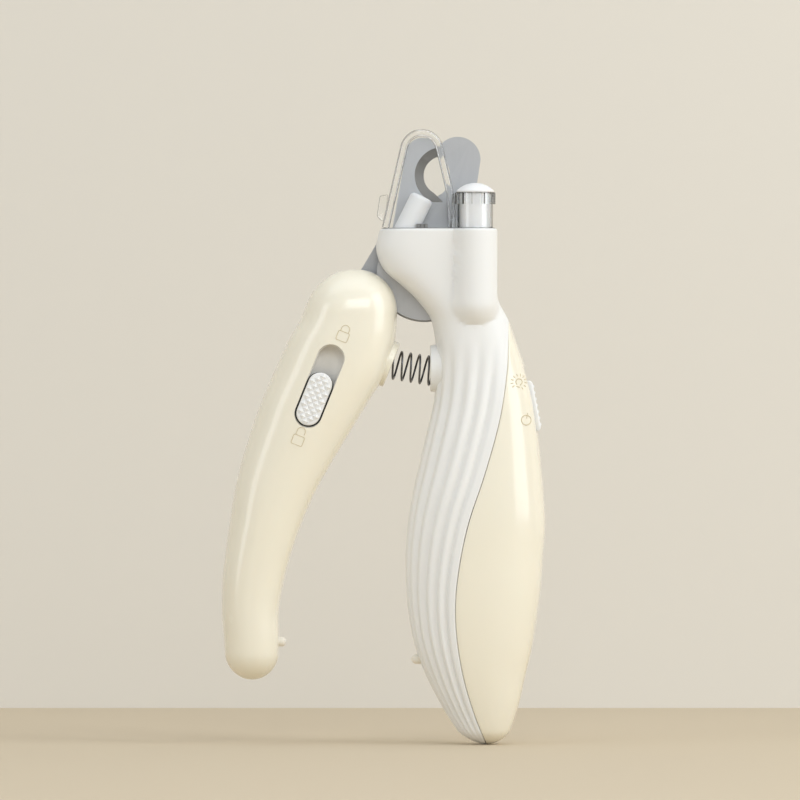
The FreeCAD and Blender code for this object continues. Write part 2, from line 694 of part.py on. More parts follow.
guard = arch_face(0).extrude(V(0, guard_back_y - guard_front_y, 0))
guard.translate(V(0, guard_front_y, 0))
hollow = arch_face(guard_wall).extrude(V(0, guard_back_y - guard_front_y + 2, 0))
hollow.translate(V(0, guard_front_y + window_t, 0))
guard = guard.cut(hollow)
sleeve = cylinder(lamp_x, lamp_y, guard_low, sleeve_r, lamp_rim_z - 0.1 - guard_low)
band = cylinder(lamp_x, lamp_y, 105.1, barrel_r, lamp_rim_z - 0.1 - 105.1)
for k in range(12):
    notch = block(barrel_r - 0.22, barrel_r + 1, -0.55, 0.55, 105.5, 110)
    notch.rotate(V(0, 0, 0), AXIS_Z, 30 * k + 15)
    notch.translate(V(lamp_x, lamp_y, 0))
    band = band.cut(notch)
tab = polygon([(0.9, 107.0), (-0.55, 106.8), (-1.3, 102.8), (-0.5, 101.9), (0.4, 102.0)], -6.6, -3.4)
guard = guard.fuse(sleeve).fuse(band).fuse(tab)
guard = guard.cut(cylinder(lamp_x, lamp_y, deck_z - 1, lamp_tube_r + running - 0.02, 12))
guard = guard.cut(hollow).removeSplitter()
save("guard", guard)

catch_x = 6.4           # left end of the clip's ribs
catch = block(catch_x, catch_x + 2.2, -6.15, -6.05, deck_z, deck_z + 0.9)
for k in range(3):
    catch = catch.fuse(block(catch_x + 0.8 * k, catch_x + 0.8 * k + 0.6, -6.45, -6.05, deck_z, deck_z + 0.9))
catch = catch.removeSplitter()
save("guard_catch", catch)

# ---- blades and pivot ----

save("fixed_blade", fixed_plate())
save("moving_blade", moving_plate())

washer = cylinder(pivot_x, plate_back_y + 0.02, pivot_z, 3.4, 0.31, AXIS_Y)
washer = washer.cut(cylinder(pivot_x, 0, pivot_z, pivot_r + running, 5, AXIS_Y))
save("pivot_washer", washer)
screw = cylinder(pivot_x, -5.6, pivot_z, pivot_r, 12.0, AXIS_Y)
screw_head = cylinder(pivot_x, 6.0, pivot_z, pivot_head_r, 1.5, AXIS_Y)
head_rim = [e for e in screw_head.Edges if e.CenterOfMass.y > 7.4 and e.Length > 5]
screw_head = screw_head.makeFillet(0.4, head_rim)
slot_cut = block(-0.35, 0.35, 6.7, 9, -3.4, 3.4)
slot_cut.translate(V(pivot_x, 0, pivot_z))
cross_cut = block(-3.4, 3.4, 6.7, 9, -0.35, 0.35).common(cylinder(0, 0, 0, 1.9, 12, AXIS_Y))
cross_cut.translate(V(pivot_x, 0, pivot_z))
slot_cut = slot_cut.common(cylinder(pivot_x, 0, pivot_z, 1.9, 12, AXIS_Y))
save("pivot_screw", screw.fuse(screw_head).cut(slot_cut).cut(cross_cut))
nut = cylinder(pivot_x, -5.2, pivot_z, 2.6, 2.6, AXIS_Y)
nut = nut.cut(cylinder(pivot_x, -6, pivot_z, pivot_r, 5, AXIS_Y))
save("pivot_nut", nut)

# ---- lever shells ----

lever_shell = lever_form.cut(lever_hollow)
tilt = math.radians(lever_cup_tilt)
lever_cup_dir = V(math.cos(tilt), 0, -math.sin(tilt))
lever_cup_face = V(lever_cup_x, 0, lever_cup_z)
cup_seat_back = lever_cup_face - lever_cup_dir * (cup_depth + 1.0)
cup_seat_lever = Part.makeCylinder(cup_r, 9, cup_seat_back, lever_cup_dir)
sweep_slot = cylinder(pivot_x, -2.0, pivot_z, sweep_r, 2.0 + plate_back_y + 0.1, AXIS_Y)
track_slot = obround(lock_x, lock_z, slot_len, slot_w, lock_lean, -30, -4)
lever_front = lever_shell.common(front_half)
lever_back = lever_shell.common(back_half)
lever_front, lever_back = add_posts(lever_front, lever_back, lever_form, lever_screw_spots, 2.2, 0.9)
for x, z in tang_spots:
    front_post = cylinder(x, -20, z, 2.0, 20, AXIS_Y).common(lever_form)
    back_post = cylinder(x, plate_back_y, z, 2.0, 20, AXIS_Y).common(lever_form)
    lever_front = lever_front.fuse(front_post.cut(cylinder(x, -6, z, 0.95, 8, AXIS_Y)))
    lever_back = lever_back.fuse(back_post).cut(cylinder(x, -1, z, 1.0, 30, AXIS_Y))
for x, z in tang_spots + lever_screw_spots:
    deep = 5.2 if z > 40 else 4.0
    lever_back = lever_back.cut(cylinder(x, deep, z, 1.95, 20, AXIS_Y))
bumper_hole = cylinder(bumper_lever[0] - 2.2, 0, bumper_lever[1], bumper_r, 6, AXIS_X)
bar_room = obround(*leaning(lock_x, lock_z, lock_lean, 6.6), 34, bar_w + 0.8, lock_lean, -2.1, 0.1)
lever_front = lever_front.cut(cup_seat_lever).cut(sweep_slot).cut(track_slot).cut(bumper_hole).cut(bar_room)
lever_back = lever_back.cut(cup_seat_lever).cut(sweep_slot).cut(bumper_hole)
save("lever_front_shell", lever_front)
save("lever_back_shell", lever_back)


def small_screw(x, z, r, head_low, end, head_r=1.75, head_h=1.2):
    """A pan-head screw driven from the back, its cross recess open to the back."""
    part = cylinder(x, end, z, r, head_low - end + 0.2, AXIS_Y)
    head = cylinder(x, head_low, z, head_r, head_h, AXIS_Y)
    rim = [e for e in head.Edges if e.CenterOfMass.y > head_low + head_h - 0.1 and e.Length > 5]
    head = head.makeFillet(0.45, rim)
    part = part.fuse(head)
    for turn in (0, 90):
        bit = block(-0.25, 0.25, 0, 2, -1.0, 1.0)
        bit.rotate(V(0, 0, 0), AXIS_Y, turn + 45)
        bit.translate(V(x, head_low + head_h - 0.6, z))
        part = part.cut(bit)
    return part


save("tang_screws", Part.makeCompound([small_screw(x, z, 0.9, 5.2, -4.6) for x, z in tang_spots]))
save("lever_screws", Part.makeCompound([small_screw(x, z, 0.85, 5.2 if z > 40 else 4.0, -4.2)
                                        for x, z in lever_screw_spots]))
save("body_screws", Part.makeCompound([small_screw(x, z, 0.9, 5.4 if z > 20 else 4.6, end)
                                       for (x, z), end in zip(body_screw_spots, body_screw_ends)]))
save("battery_door_screw", small_screw(door_hole[0], door_hole[1], 0.85, 7.9, 3.0, 1.7, 1.0))

# ---- spring, cups and bumpers ----

cup = cylinder(body_cup_x, 0, body_cup_z, cup_r - 0.02, cup_depth + 0.9, AXIS_X)
cup = cup.cut(cylinder(body_cup_x - 1, 0, body_cup_z, cup_bore_r, cup_depth + 1, AXIS_X))
save("body_spring_cup", cup)
cup_start = lever_cup_face - lever_cup_dir * (cup_depth + 0.9)
lever_cup = Part.makeCylinder(cup_r - 0.02, cup_depth + 0.9, cup_start, lever_cup_dir)
cup_floor = lever_cup_face - lever_cup_dir * cup_depth
lever_cup = lever_cup.cut(Part.makeCylinder(cup_bore_r, 9, cup_floor, lever_cup_dir))
save("lever_spring_cup", lever_cup)

spring_left = V(-1.2, 0, 74.95)
spring_right = V(12.7, 0, 72.75)
spring_way = (spring_right - spring_left)
spring_length = spring_way.Length
helix = Part.makeHelix(spring_length / coil_turns, spring_length, coil_r)
corners = []            # the wire is eight-sided
for k in range(8):
    corners.append(V(coil_r + wire_r * math.cos(math.pi * k / 4), 0, wire_r * math.sin(math.pi * k / 4)))
ring = Part.makePolygon(corners + corners[:1])
spring = Part.Wire(helix).makePipeShell([ring], True, True)
turn_axis = AXIS_Z.cross(spring_way)
spring.rotate(V(0, 0, 0), turn_axis, math.degrees(AXIS_Z.getAngle(spring_way)))
spring.translate(spring_left)
save("return_spring", spring)


def bumper(x0, z, length, flip):
    """A soft peg with a round nose, pressed into the shells."""
    nose = bumper_r
    start = x0 - length if flip else x0
    part = cylinder(start, 0, z, bumper_r - 0.02, length, AXIS_X)
    end = start if flip else start + length
    return part.fuse(Part.makeSphere(nose - 0.02, V(end, 0, z))).removeSplitter()


save("lever_bumper", bumper(-22.0, bumper_lever[1], 2.15, False))
save("body_bumper", bumper(8.4, bumper_body[1], 2.05, True))

# ---- lock ----

bar_mid = leaning(lock_x, lock_z, lock_lean, (bar_low + bar_high) / 2)
bar = obround(bar_mid[0], bar_mid[1], bar_high - bar_low, bar_w, lock_lean,
              plate_front_y + 0.05, -blade_gap - 0.05)
button_at = leaning(lock_x, lock_z, lock_lean, -lock_travel / 2)
stem_at = leaning(lock_x, lock_z, lock_lean, stem_shift - lock_travel / 2)
bar_stem = obround(stem_at[0], stem_at[1], 3.4, 1.6, lock_lean, -7.0, plate_front_y + 0.3)
save("lock_bar", bar.fuse(bar_stem).removeSplitter())
button = obround(button_at[0], button_at[1], button_len, button_w, lock_lean, -9.3, -7.0)
button = button.makeFillet(0.4, [e for e in button.Edges if abs(e.CenterOfMass.y + 9.3) < 0.01])
save("lock_button", button)
track = obround(lock_x, lock_z, slot_len - 0.04, slot_w - 0.04, lock_lean, -8.2, -5.6)
track = track.cut(obround(lock_x, lock_z, slot_len - 0.6, slot_w - 0.5 + 0.12, lock_lean, -9, -6.5))
track = track.fuse(obround(lock_x, lock_z, slot_len + 1.6, slot_w + 1.0, lock_lean, -6.2, -5.4))
track = track.cut(obround(lock_x, lock_z, slot_len - 0.6, slot_w - 0.5 + 0.12, lock_lean, -9, -6.5))
stem_mid = leaning(lock_x, lock_z, lock_lean, stem_shift)
track = track.cut(obround(stem_mid[0], stem_mid[1], 3.6 + lock_travel + 0.6, 2.0, lock_lean, -9, -3))
track = track.common(lever_form).removeSplitter()
save("lock_track", track)
detent_at = leaning(lock_x, lock_z, lock_lean, 3.0, 3.0)
detent = obround(detent_at[0], detent_at[1], 9.0, 0.9, lock_lean, -5.35, -4.0)
save("lock_detent_spring", detent)
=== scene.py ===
import bpy
import bmesh
import math
from mathutils import Matrix, Vector


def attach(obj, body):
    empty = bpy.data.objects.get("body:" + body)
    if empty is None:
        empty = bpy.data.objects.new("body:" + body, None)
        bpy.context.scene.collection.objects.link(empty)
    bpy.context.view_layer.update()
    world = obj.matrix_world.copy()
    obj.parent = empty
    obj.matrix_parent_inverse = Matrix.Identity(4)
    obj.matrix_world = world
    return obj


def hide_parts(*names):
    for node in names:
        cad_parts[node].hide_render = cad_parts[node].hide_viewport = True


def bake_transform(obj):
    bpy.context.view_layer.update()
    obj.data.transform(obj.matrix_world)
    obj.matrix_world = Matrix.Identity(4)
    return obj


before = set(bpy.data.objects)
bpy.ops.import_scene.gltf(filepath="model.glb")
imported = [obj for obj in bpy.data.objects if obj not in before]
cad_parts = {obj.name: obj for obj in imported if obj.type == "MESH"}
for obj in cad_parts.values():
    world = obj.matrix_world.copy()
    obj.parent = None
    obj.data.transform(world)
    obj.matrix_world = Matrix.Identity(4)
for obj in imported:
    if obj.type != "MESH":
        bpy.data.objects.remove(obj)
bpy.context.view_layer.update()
mm = 0.001

# Pet nail trimmer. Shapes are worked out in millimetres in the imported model's frame and scaled by mm
# as they become meshes: z up towards the blades, x from the lever towards the grip, -y is the front.


def linear(red, green, blue):
    values = []
    for v in (red, green, blue):
        v = v / 255
        values.append(v / 12.92 if v <= 0.04045 else ((v + 0.055) / 1.055) ** 2.4)
    return (*values, 1.0)


def smooth(t):
    t = min(max(t, 0.0), 1.0)
    return t * t * (3 - 2 * t)


def along(rows, column, z):
    z = min(max(z, rows[0][0]), rows[-1][0])
    i = 0
    while i < len(rows) - 2 and z > rows[i + 1][0]:
        i += 1

    def slope(k):
        low = max(k - 1, 0)
        high = min(k + 1, len(rows) - 1)
        return (rows[high][column] - rows[low][column]) / (rows[high][0] - rows[low][0])

    h = rows[i + 1][0] - rows[i][0]
    t = (z - rows[i][0]) / h
    rise = 3 * t * t - 2 * t ** 3
    bend = h * (slope(i) * t * (1 - t) ** 2 - slope(i + 1) * t * t * (1 - t))
    return rows[i][column] + (rows[i + 1][column] - rows[i][column]) * rise + bend


grip = {
    # height, middle x, half width, half depth, squareness of the level section
    "rows": [
        (0.0, 20.1, 3.3, 3.4, 2.2), (3.0, 19.5, 5.3, 5.0, 2.2), (7.6, 18.8, 7.5, 6.6, 2.3),
        (13.5, 17.95, 9.7, 8.1, 2.3), (19.3, 17.55, 11.45, 9.1, 2.4), (25.2, 17.45, 12.5, 9.8, 2.4),
        (31.0, 17.55, 13.15, 10.2, 2.4), (36.9, 17.7, 13.4, 10.4, 2.4), (42.7, 18.1, 13.4, 10.5, 2.4),
        (48.6, 18.4, 12.8, 10.4, 2.4), (54.4, 18.8, 11.9, 10.1, 2.4), (60.3, 19.2, 10.9, 9.7, 2.4),
        (67.1, 19.5, 9.65, 9.1, 2.4), (72.9, 18.95, 8.75, 8.5, 2.4), (77.8, 18.1, 7.95, 8.1, 2.5),
        (82.7, 16.75, 7.55, 7.8, 2.6), (86.4, 14.5, 7.9, 7.7, 2.8), (89.2, 12.9, 9.2, 7.7, 3.0),
        (92.4, 11.1, 11.0, 7.8, 3.2), (96.3, 10.35, 11.8, 7.9, 3.4), (100.4, 10.65, 11.45, 7.9, 3.4),
    ],
    "low": 0.02, "high": 100.4, "lowRound": 2.6, "highRound": 0.0,
    "wall": 1.5, "deckRound": 0.5, "step": 0.55,
}
barrel = {"x": 17.8, "y": -6.2, "radius": 4.3, "lowEnd": 86.0, "blend": 0.9}


def section(form, z, inset=0.0):
    rows = form["rows"]
    factor = 1.0
    for depth, length in ((z - form["low"], form["lowRound"]), (form["high"] - z, form["highRound"])):
        if length and depth < length:
            factor *= math.sqrt(max(1 - (1 - depth / length) ** 2, 0.0))
    halfWidth = max(along(rows, 2, z) * factor - inset, 0.3)
    halfDepth = max(along(rows, 3, z) * factor - inset, 0.3)
    return along(rows, 1, z), halfWidth, halfDepth, along(rows, 4, z)


def reach(halfWidth, halfDepth, square, angle):
    total = abs(math.cos(angle) / halfWidth) ** square + abs(math.sin(angle) / halfDepth) ** square
    return total ** (-1 / square)


def gripReach(z, angle, inset=0.0):
    middle, halfWidth, halfDepth, square = section(grip, z, inset)
    r = reach(halfWidth, halfDepth, square, angle)
    drop = max(barrel["lowEnd"] - z, 0.0)
    size = barrel["radius"] - inset
    if drop < size:
        level = math.sqrt(size * size - drop * drop)
        dx = barrel["x"] - middle
        dy = barrel["y"]
        near = dx * math.cos(angle) + dy * math.sin(angle)
        spread = level * level - (dx * dx + dy * dy - near * near)
        far = near + (math.sqrt(spread) if spread > 0 else -1.5 * math.sqrt(-spread))
        k = barrel["blend"] * (1.0 + 1.4 * smooth((91.0 - z) / 6.0))
        r = max(r, far) + max(k - abs(r - far), 0.0) ** 2 / (4 * k)
    return middle, r


seam = {
    # height, x of the line between the white body and the cream cover
    "rows": [(-0.6, 20.3), (6.0, 17.6), (14.0, 15.3), (23.0, 14.0), (31.5, 14.2), (42.6, 16.3),
             (52.5, 19.6), (63.2, 22.6), (72.0, 24.0), (77.8, 24.35), (84.5, 24.4)],
    "gap": 0.12, "edgeRound": 0.22,
}
edgeSteps = [0.0, 0.05, 0.12, 0.24]


def seamAngle(z):
    middle, halfWidth, halfDepth, square = section(grip, z)
    target = along(seam["rows"], 1, z) - middle
    if target >= halfWidth or z > seam["rows"][-1][0]:
        return 0.0
    low, high = 0.0, math.pi
    for step in range(40):
        mid = (low + high) / 2
        if reach(halfWidth, halfDepth, square, mid) * math.cos(mid) > target:
            low = mid
        else:
            high = mid
    return low


def softEdge(distance):
    r = seam["edgeRound"]
    return 0.0 if distance >= r else r - math.sqrt(r * r - (r - distance) ** 2)


def heights(form, low, high, step):
    out = []
    z = low
    while z < high - step * 0.3:
        out.append(z)
        fine = form["lowRound"] and z - form["low"] < form["lowRound"]
        fine = fine or (form["highRound"] and form["high"] - z < form["highRound"])
        near = min(z - form["low"], form["high"] - z) if fine else 9
        z += step * (min(0.12 + near * 0.35, 1.0) if fine else 1.0)
    return out + [high]


def spreadAngles(first, last, edges, columns):      # close together beside the seams, even between them
    span = last - first - 2 * edges[-1]
    return ([first + e for e in edges] + [first + edges[-1] + span * k / columns for k in range(1, columns)]
            + [last - e for e in reversed(edges)])


def meshFromRows(name, outer, inner):
    rows = len(outer)
    cols = len(outer[0])
    verts = [p for row in outer for p in row] + [p for row in inner for p in row]
    shift = rows * cols
    faces = []
    for i in range(rows - 1):
        for j in range(cols - 1):
            a, b = i * cols + j, i * cols + j + 1
            c, d = a + cols, b + cols
            faces.append((a, b, d, c))
            faces.append((a + shift, c + shift, d + shift, b + shift))
    border = ([j for j in range(cols)] + [i * cols + cols - 1 for i in range(1, rows)]
              + [(rows - 1) * cols + j for j in range(cols - 2, -1, -1)]
              + [i * cols for i in range(rows - 2, 0, -1)])
    for k, a in enumerate(border):
        b = border[(k + 1) % len(border)]
        faces.append((b, a, a + shift, b + shift))
    mesh = bpy.data.meshes.new(name)
    mesh.from_pydata([Vector(v) * mm for v in verts], [], faces)
    tidyMesh(mesh)
    return mesh


def meshFrom(bm, name):
    bmesh.ops.recalc_face_normals(bm, faces=bm.faces)
    mesh = bpy.data.meshes.new(name)
    bm.to_mesh(mesh)
    bm.free()
    return mesh


def bridge(bm, low, high):      # a band of four-sided faces between two rings
    for k in range(len(low)):
        n = (k + 1) % len(low)
        bm.faces.new((low[k], low[n], high[n], high[k]))


def skin(bm, rings, capped=True):
    for low, high in zip(rings[:-1], rings[1:]):
        bridge(bm, low, high)
    if capped:
        bm.faces.new(rings[0])
        bm.faces.new(rings[-1])


def tidyMesh(mesh, merge=0.000002):
    bm = bmesh.new()
    bm.from_mesh(mesh)
    bmesh.ops.remove_doubles(bm, verts=bm.verts, dist=merge)
    bmesh.ops.dissolve_degenerate(bm, edges=bm.edges, dist=merge * 0.5)
    bmesh.ops.recalc_face_normals(bm, faces=bm.faces)
    bm.to_mesh(mesh)
    bm.free()
    mesh.update()


def shade(mesh, degrees=38):
    mesh.shade_smooth()
    mesh.set_sharp_from_angle(angle=math.radians(degrees))


def addObject(name, mesh):
    obj = bpy.data.objects.new(name, mesh)
    bpy.context.scene.collection.objects.link(obj)
    return obj


def bake(obj):
    bpy.context.view_layer.update()
    graph = bpy.context.evaluated_depsgraph_get()
    mesh = bpy.data.meshes.new_from_object(obj.evaluated_get(graph))
    mesh.name = obj.name
    obj.modifiers.clear()
    obj.data = mesh
    return obj


def boolean(obj, cutters, operation="DIFFERENCE"):
    for cutter in cutters:
        tool = addObject("cutter", cutter)
        before = obj.data
        for careful in (False, True):       # the careful way serves where the plain one loses the shell
            obj.data = before
            modifier = obj.modifiers.new("cut", "BOOLEAN")
            modifier.object = tool
            modifier.operation = operation
            modifier.solver = "EXACT"
            modifier.use_self = careful
            bake(obj)
            if operation == "INTERSECT" or len(obj.data.polygons) > len(before.polygons) / 2:
                break
        bpy.data.objects.remove(tool)
        bpy.data.meshes.remove(cutter)
    return obj


def finishPiece(obj, body, finish, replaced=(), degrees=38):
    obj.data.materials.clear()
    obj.data.materials.append(materials[finish])
    for polygon in obj.data.polygons:
        polygon.material_index = 0
    if degrees:
        shade(obj.data, degrees)
    if body:
        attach(obj, body)
    if replaced:
        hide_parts(*replaced)
    return obj


def prismMesh(points, y0, y1):
    bm = bmesh.new()
    low = [bm.verts.new(Vector((x, y0, z)) * mm) for x, z in points]
    high = [bm.verts.new(Vector((x, y1, z)) * mm) for x, z in points]
    bm.faces.new(low)
    bm.faces.new(high)
    bridge(bm, low, high)
    return meshFrom(bm, "prism")


def obroundPoints(x, z, length, width, lean, grow=0.0, steps=20):
    r = width / 2 + grow
    half = (length - width) / 2
    a = math.radians(lean)
    points = []
    for k in range(2 * steps + 2):
        end = half if k <= steps else -half
        turn = math.pi * (k if k <= steps else k - 1) / steps
        across, up = r * math.cos(turn), end + r * math.sin(turn)
        points.append((x + up * math.sin(a) + across * math.cos(a),
                       z + up * math.cos(a) - across * math.sin(a)))
    return points


def spunMesh(profile, origin, direction, segments=64):
    axis = Vector(direction).normalized()
    turn = Vector((0, 0, 1)).rotation_difference(axis).to_matrix()
    rings = []
    bm = bmesh.new()
    for r, h in profile:
        if r < 1e-6:
            rings.append([bm.verts.new((Vector(origin) + turn @ Vector((0, 0, h))) * mm)])
        else:
            ring = []
            for k in range(segments):
                a = 2 * math.pi * k / segments
                spot = turn @ Vector((r * math.cos(a), r * math.sin(a), h))
                ring.append(bm.verts.new((Vector(origin) + spot) * mm))
            rings.append(ring)
    closed = profile[0] == profile[-1]
    if closed:
        rings[-1] = rings[0]
    for low, high in zip(rings[:-1], rings[1:]):
        for k in range(segments):
            n = (k + 1) % segments
            corners = [low[k % len(low)], low[n % len(low)], high[n % len(high)], high[k % len(high)]]
            unique = list(dict.fromkeys(corners))
            if len(unique) > 2:
                bm.faces.new(unique)
    if closed:
        for v in [v for v in bm.verts if not v.link_faces]:
            bm.verts.remove(v)
    else:
        for ring in (rings[0], rings[-1]):
            if len(ring) > 2:
                bm.faces.new(ring)
    return meshFrom(bm, "spun")


def joinMeshes(name, meshes):
    bm = bmesh.new()
    for mesh in meshes:
        bm.from_mesh(mesh)
        bpy.data.meshes.remove(mesh)
    out = bpy.data.meshes.new(name)
    bm.to_mesh(out)
    bm.free()
    return out


def tubeMesh(points, radius, sides=8, closed=False):
    bm = bmesh.new()
    points = [Vector(p) for p in points]
    rings = []
    count = len(points)
    for k, p in enumerate(points):
        before = points[(k - 1) % count] if closed or k else p
        after = points[(k + 1) % count] if closed or k < count - 1 else p
        way = (after - before).normalized()
        side = way.cross(Vector((0, 1, 0)))
        side = side.normalized() if side.length > 0.01 else Vector((1, 0, 0))
        up = side.cross(way).normalized()
        rings.append([bm.verts.new((p + (side * math.cos(a) + up * math.sin(a)) * radius) * mm)
                      for a in [2 * math.pi * s / sides for s in range(sides)]])
    skin(bm, rings + rings[:1] if closed else rings, not closed)
    return meshFrom(bm, "tube")


def setInputs(tree, node, values):      # a value is either another node's output or a plain setting
    for label, value in values.items():
        if isinstance(value, bpy.types.NodeSocket):
            tree.links.new(value, node.inputs[label])
        else:
            node.inputs[label].default_value = value


def addNode(tree, kind, values):
    node = tree.nodes.new(kind)
    setInputs(tree, node, values)
    return node


def shaderGroup(name, inputs, outputs):
    group = bpy.data.node_groups.new(name, "ShaderNodeTree")
    for label, value in inputs:
        socket = group.interface.new_socket(name=label, in_out="INPUT", socket_type="NodeSocketFloat")
        socket.default_value = value
    for label in outputs:
        group.interface.new_socket(name=label, in_out="OUTPUT", socket_type="NodeSocketFloat")
    return group, group.nodes.new("NodeGroupInput").outputs, group.nodes.new("NodeGroupOutput")


def mathNode(tree, operation, a, b=None, clamp=False):
    node = addNode(tree, "ShaderNodeMath", {0: a} if b is None else {0: a, 1: b})
    node.operation = operation
    node.use_clamp = clamp
    return node.outputs[0]


def times(tree, a, b, clamp=False):
    return mathNode(tree, "MULTIPLY", a, b, clamp)


def plus(tree, a, b):
    return mathNode(tree, "ADD", a, b)


def minus(tree, a, b, clamp=False):
    return mathNode(tree, "SUBTRACT", a, b, clamp)


def objectPlace(tree):
    return tree.nodes.new("ShaderNodeTexCoord").outputs["Object"]


def surfaceOf(tree, label):
    return tree.nodes.new("ShaderNodeNewGeometry").outputs[label]


def noiseNode(tree, vector, scale, detail=3.0, roughness=0.55):
    values = {"Detail": detail, "Roughness": roughness, "Scale": scale, "Vector": vector}
    return addNode(tree, "ShaderNodeTexNoise", values).outputs[0]


def makeMouldGrain():
    group, given, out = shaderGroup(
        "mouldGrain", [("Grain Scale", 9000.0), ("Flow Scale", 55.0)], ["Height", "Sheen Mask", "Tone"])
    place = objectPlace(group)
    grain = noiseNode(group, place, given["Grain Scale"], 2.0, 0.6)
    flow = noiseNode(group, place, given["Flow Scale"], 3.0, 0.5)
    cells = addNode(group, "ShaderNodeTexVoronoi", {
        "Vector": place, "Scale": times(group, given["Grain Scale"], 0.45)})
    height = plus(group, times(group, grain, 0.65), times(group, cells.outputs["Distance"], 0.35))
    sheen = minus(group, times(group, flow, 1.6), 0.3, True)
    setInputs(group, out, {"Height": height, "Sheen Mask": sheen, "Tone": flow})
    return group


def brokenMask(group, given, out, shape, breakup):
    mask = times(group, times(group, shape, breakup), given["Amount"], True)
    setInputs(group, out, {"Mask": mask})
    return group


def makeEdgeWear():
    group, given, out = shaderGroup("edgeWear", [("Amount", 0.5), ("Breakup Scale", 700.0)], ["Mask"])
    ridge = times(group, minus(group, surfaceOf(group, "Pointiness"), 0.52), 14.0, True)
    breakup = noiseNode(group, objectPlace(group), given["Breakup Scale"], 5.0, 0.65)
    return brokenMask(group, given, out, ridge, breakup)


def makeDust():
    group, given, out = shaderGroup("settledDust", [("Amount", 0.2)], ["Mask"])
    hollow = times(group, minus(group, 0.49, surfaceOf(group, "Pointiness")), 9.0, True)
    return brokenMask(group, given, out, hollow, noiseNode(group, objectPlace(group), 260.0, 4.0, 0.6))


def makeBrushed():
    group, given, out = shaderGroup(
        "brushedLines", [("Across Scale", 5200.0), ("Along Scale", 70.0)], ["Height", "Streak"])
    place = objectPlace(group)
    parts = addNode(group, "ShaderNodeSeparateXYZ", {0: place}).outputs
    joined = addNode(group, "ShaderNodeCombineXYZ", {
        axis: times(group, parts[axis], given[scale])
        for axis, scale in (("X", "Across Scale"), ("Y", "Across Scale"), ("Z", "Along Scale"))})
    lines = noiseNode(group, joined.outputs[0], 1.0, 4.0, 0.7)
    soft = noiseNode(group, place, 120.0, 2.0, 0.5)
    streak = plus(group, times(group, lines, 0.7), times(group, soft, 0.3))
    setInputs(group, out, {"Height": lines, "Streak": streak})
    return group


# painted shade: steel faces turned away from the front (blade bevels, side walls) get a darker colour,
# standing in for the shade their tilt gives
def makeBevelShadeMask():
    group, given, out = shaderGroup("bevelShadeMask", [("Steepness", 0.03)], ["Mask"])
    parts = addNode(group, "ShaderNodeSeparateXYZ", {0: surfaceOf(group, "True Normal")}).outputs
    flat = minus(group, 1.0, mathNode(group, "ABSOLUTE", parts["Y"]))
    setInputs(group, out, {"Mask": times(group, minus(group, flat, given["Steepness"]), 40.0, True)})
    return group


mouldGrain = makeMouldGrain()
bevelShadeMask = makeBevelShadeMask()
edgeWear = makeEdgeWear()
settledDust = makeDust()
brushedLines = makeBrushed()

# plastics: colours as 0 to 255, grain as bump strength
finishes = {
    "creamGloss": {"colour": (243, 237, 219), "worn": (252, 248, 232), "dust": (222, 213, 190), "rough": 0.22,
                   "coat": 0.6, "grain": 0.03, "grainScale": 6000.0, "subsurface": 0.06},
    "whiteSatin": {"colour": (238, 238, 236), "worn": (248, 248, 246), "dust": (196, 194, 188), "rough": 0.46,
                   "coat": 0.0, "grain": 0.10, "grainScale": 9000.0, "subsurface": 0.05},
    "whiteGloss": {"colour": (240, 240, 239), "worn": (250, 250, 248), "dust": (200, 198, 192), "rough": 0.3,
                   "coat": 0.2, "grain": 0.04, "grainScale": 8000.0, "subsurface": 0.08},
    "lampWhite": {"colour": (240, 241, 242), "worn": (250, 250, 250), "dust": (205, 204, 200), "rough": 0.34,
                  "coat": 0.1, "grain": 0.05, "grainScale": 7000.0, "subsurface": 0.15},
    "recessGrey": {"colour": (226, 224, 219), "worn": (232, 230, 226), "dust": (196, 193, 186), "rough": 0.5,
                   "coat": 0.0, "grain": 0.1, "grainScale": 8000.0, "subsurface": 0.0},
    # black of the switch body and battery holder; also painted shade in the lock slot behind the button's gap
    "blackAndSlotShade": {"colour": (26, 26, 27), "worn": (48, 48, 48), "dust": (70, 68, 64), "rough": 0.5,
                 "coat": 0.0, "grain": 0.15, "grainScale": 7000.0, "subsurface": 0.0},
    "seamGrey": {"colour": (120, 119, 116), "worn": (150, 149, 146), "dust": (110, 106, 98), "rough": 0.5,
                 "coat": 0.0, "grain": 0.1, "grainScale": 7000.0, "subsurface": 0.0},
    "markTan": {"colour": (210, 198, 168), "worn": (216, 206, 178), "dust": (190, 178, 150), "rough": 0.45,
                "coat": 0.0, "grain": 0.08, "grainScale": 7000.0, "subsurface": 0.0},
    "bumperSoft": {"colour": (236, 231, 219), "worn": (242, 238, 228), "dust": (190, 184, 170), "rough": 0.62,
                   "coat": 0.0, "grain": 0.2, "grainScale": 5000.0, "subsurface": 0.1},
    "boardGreen": {"colour": (30, 92, 52), "worn": (60, 120, 80), "dust": (70, 90, 70), "rough": 0.35,
                   "coat": 0.3, "grain": 0.08, "grainScale": 4000.0, "subsurface": 0.0},
    "wireRed": {"colour": (160, 36, 30), "worn": (180, 60, 52), "dust": (120, 60, 52), "rough": 0.45,
                "coat": 0.0, "grain": 0.05, "grainScale": 5000.0, "subsurface": 0.05},
}
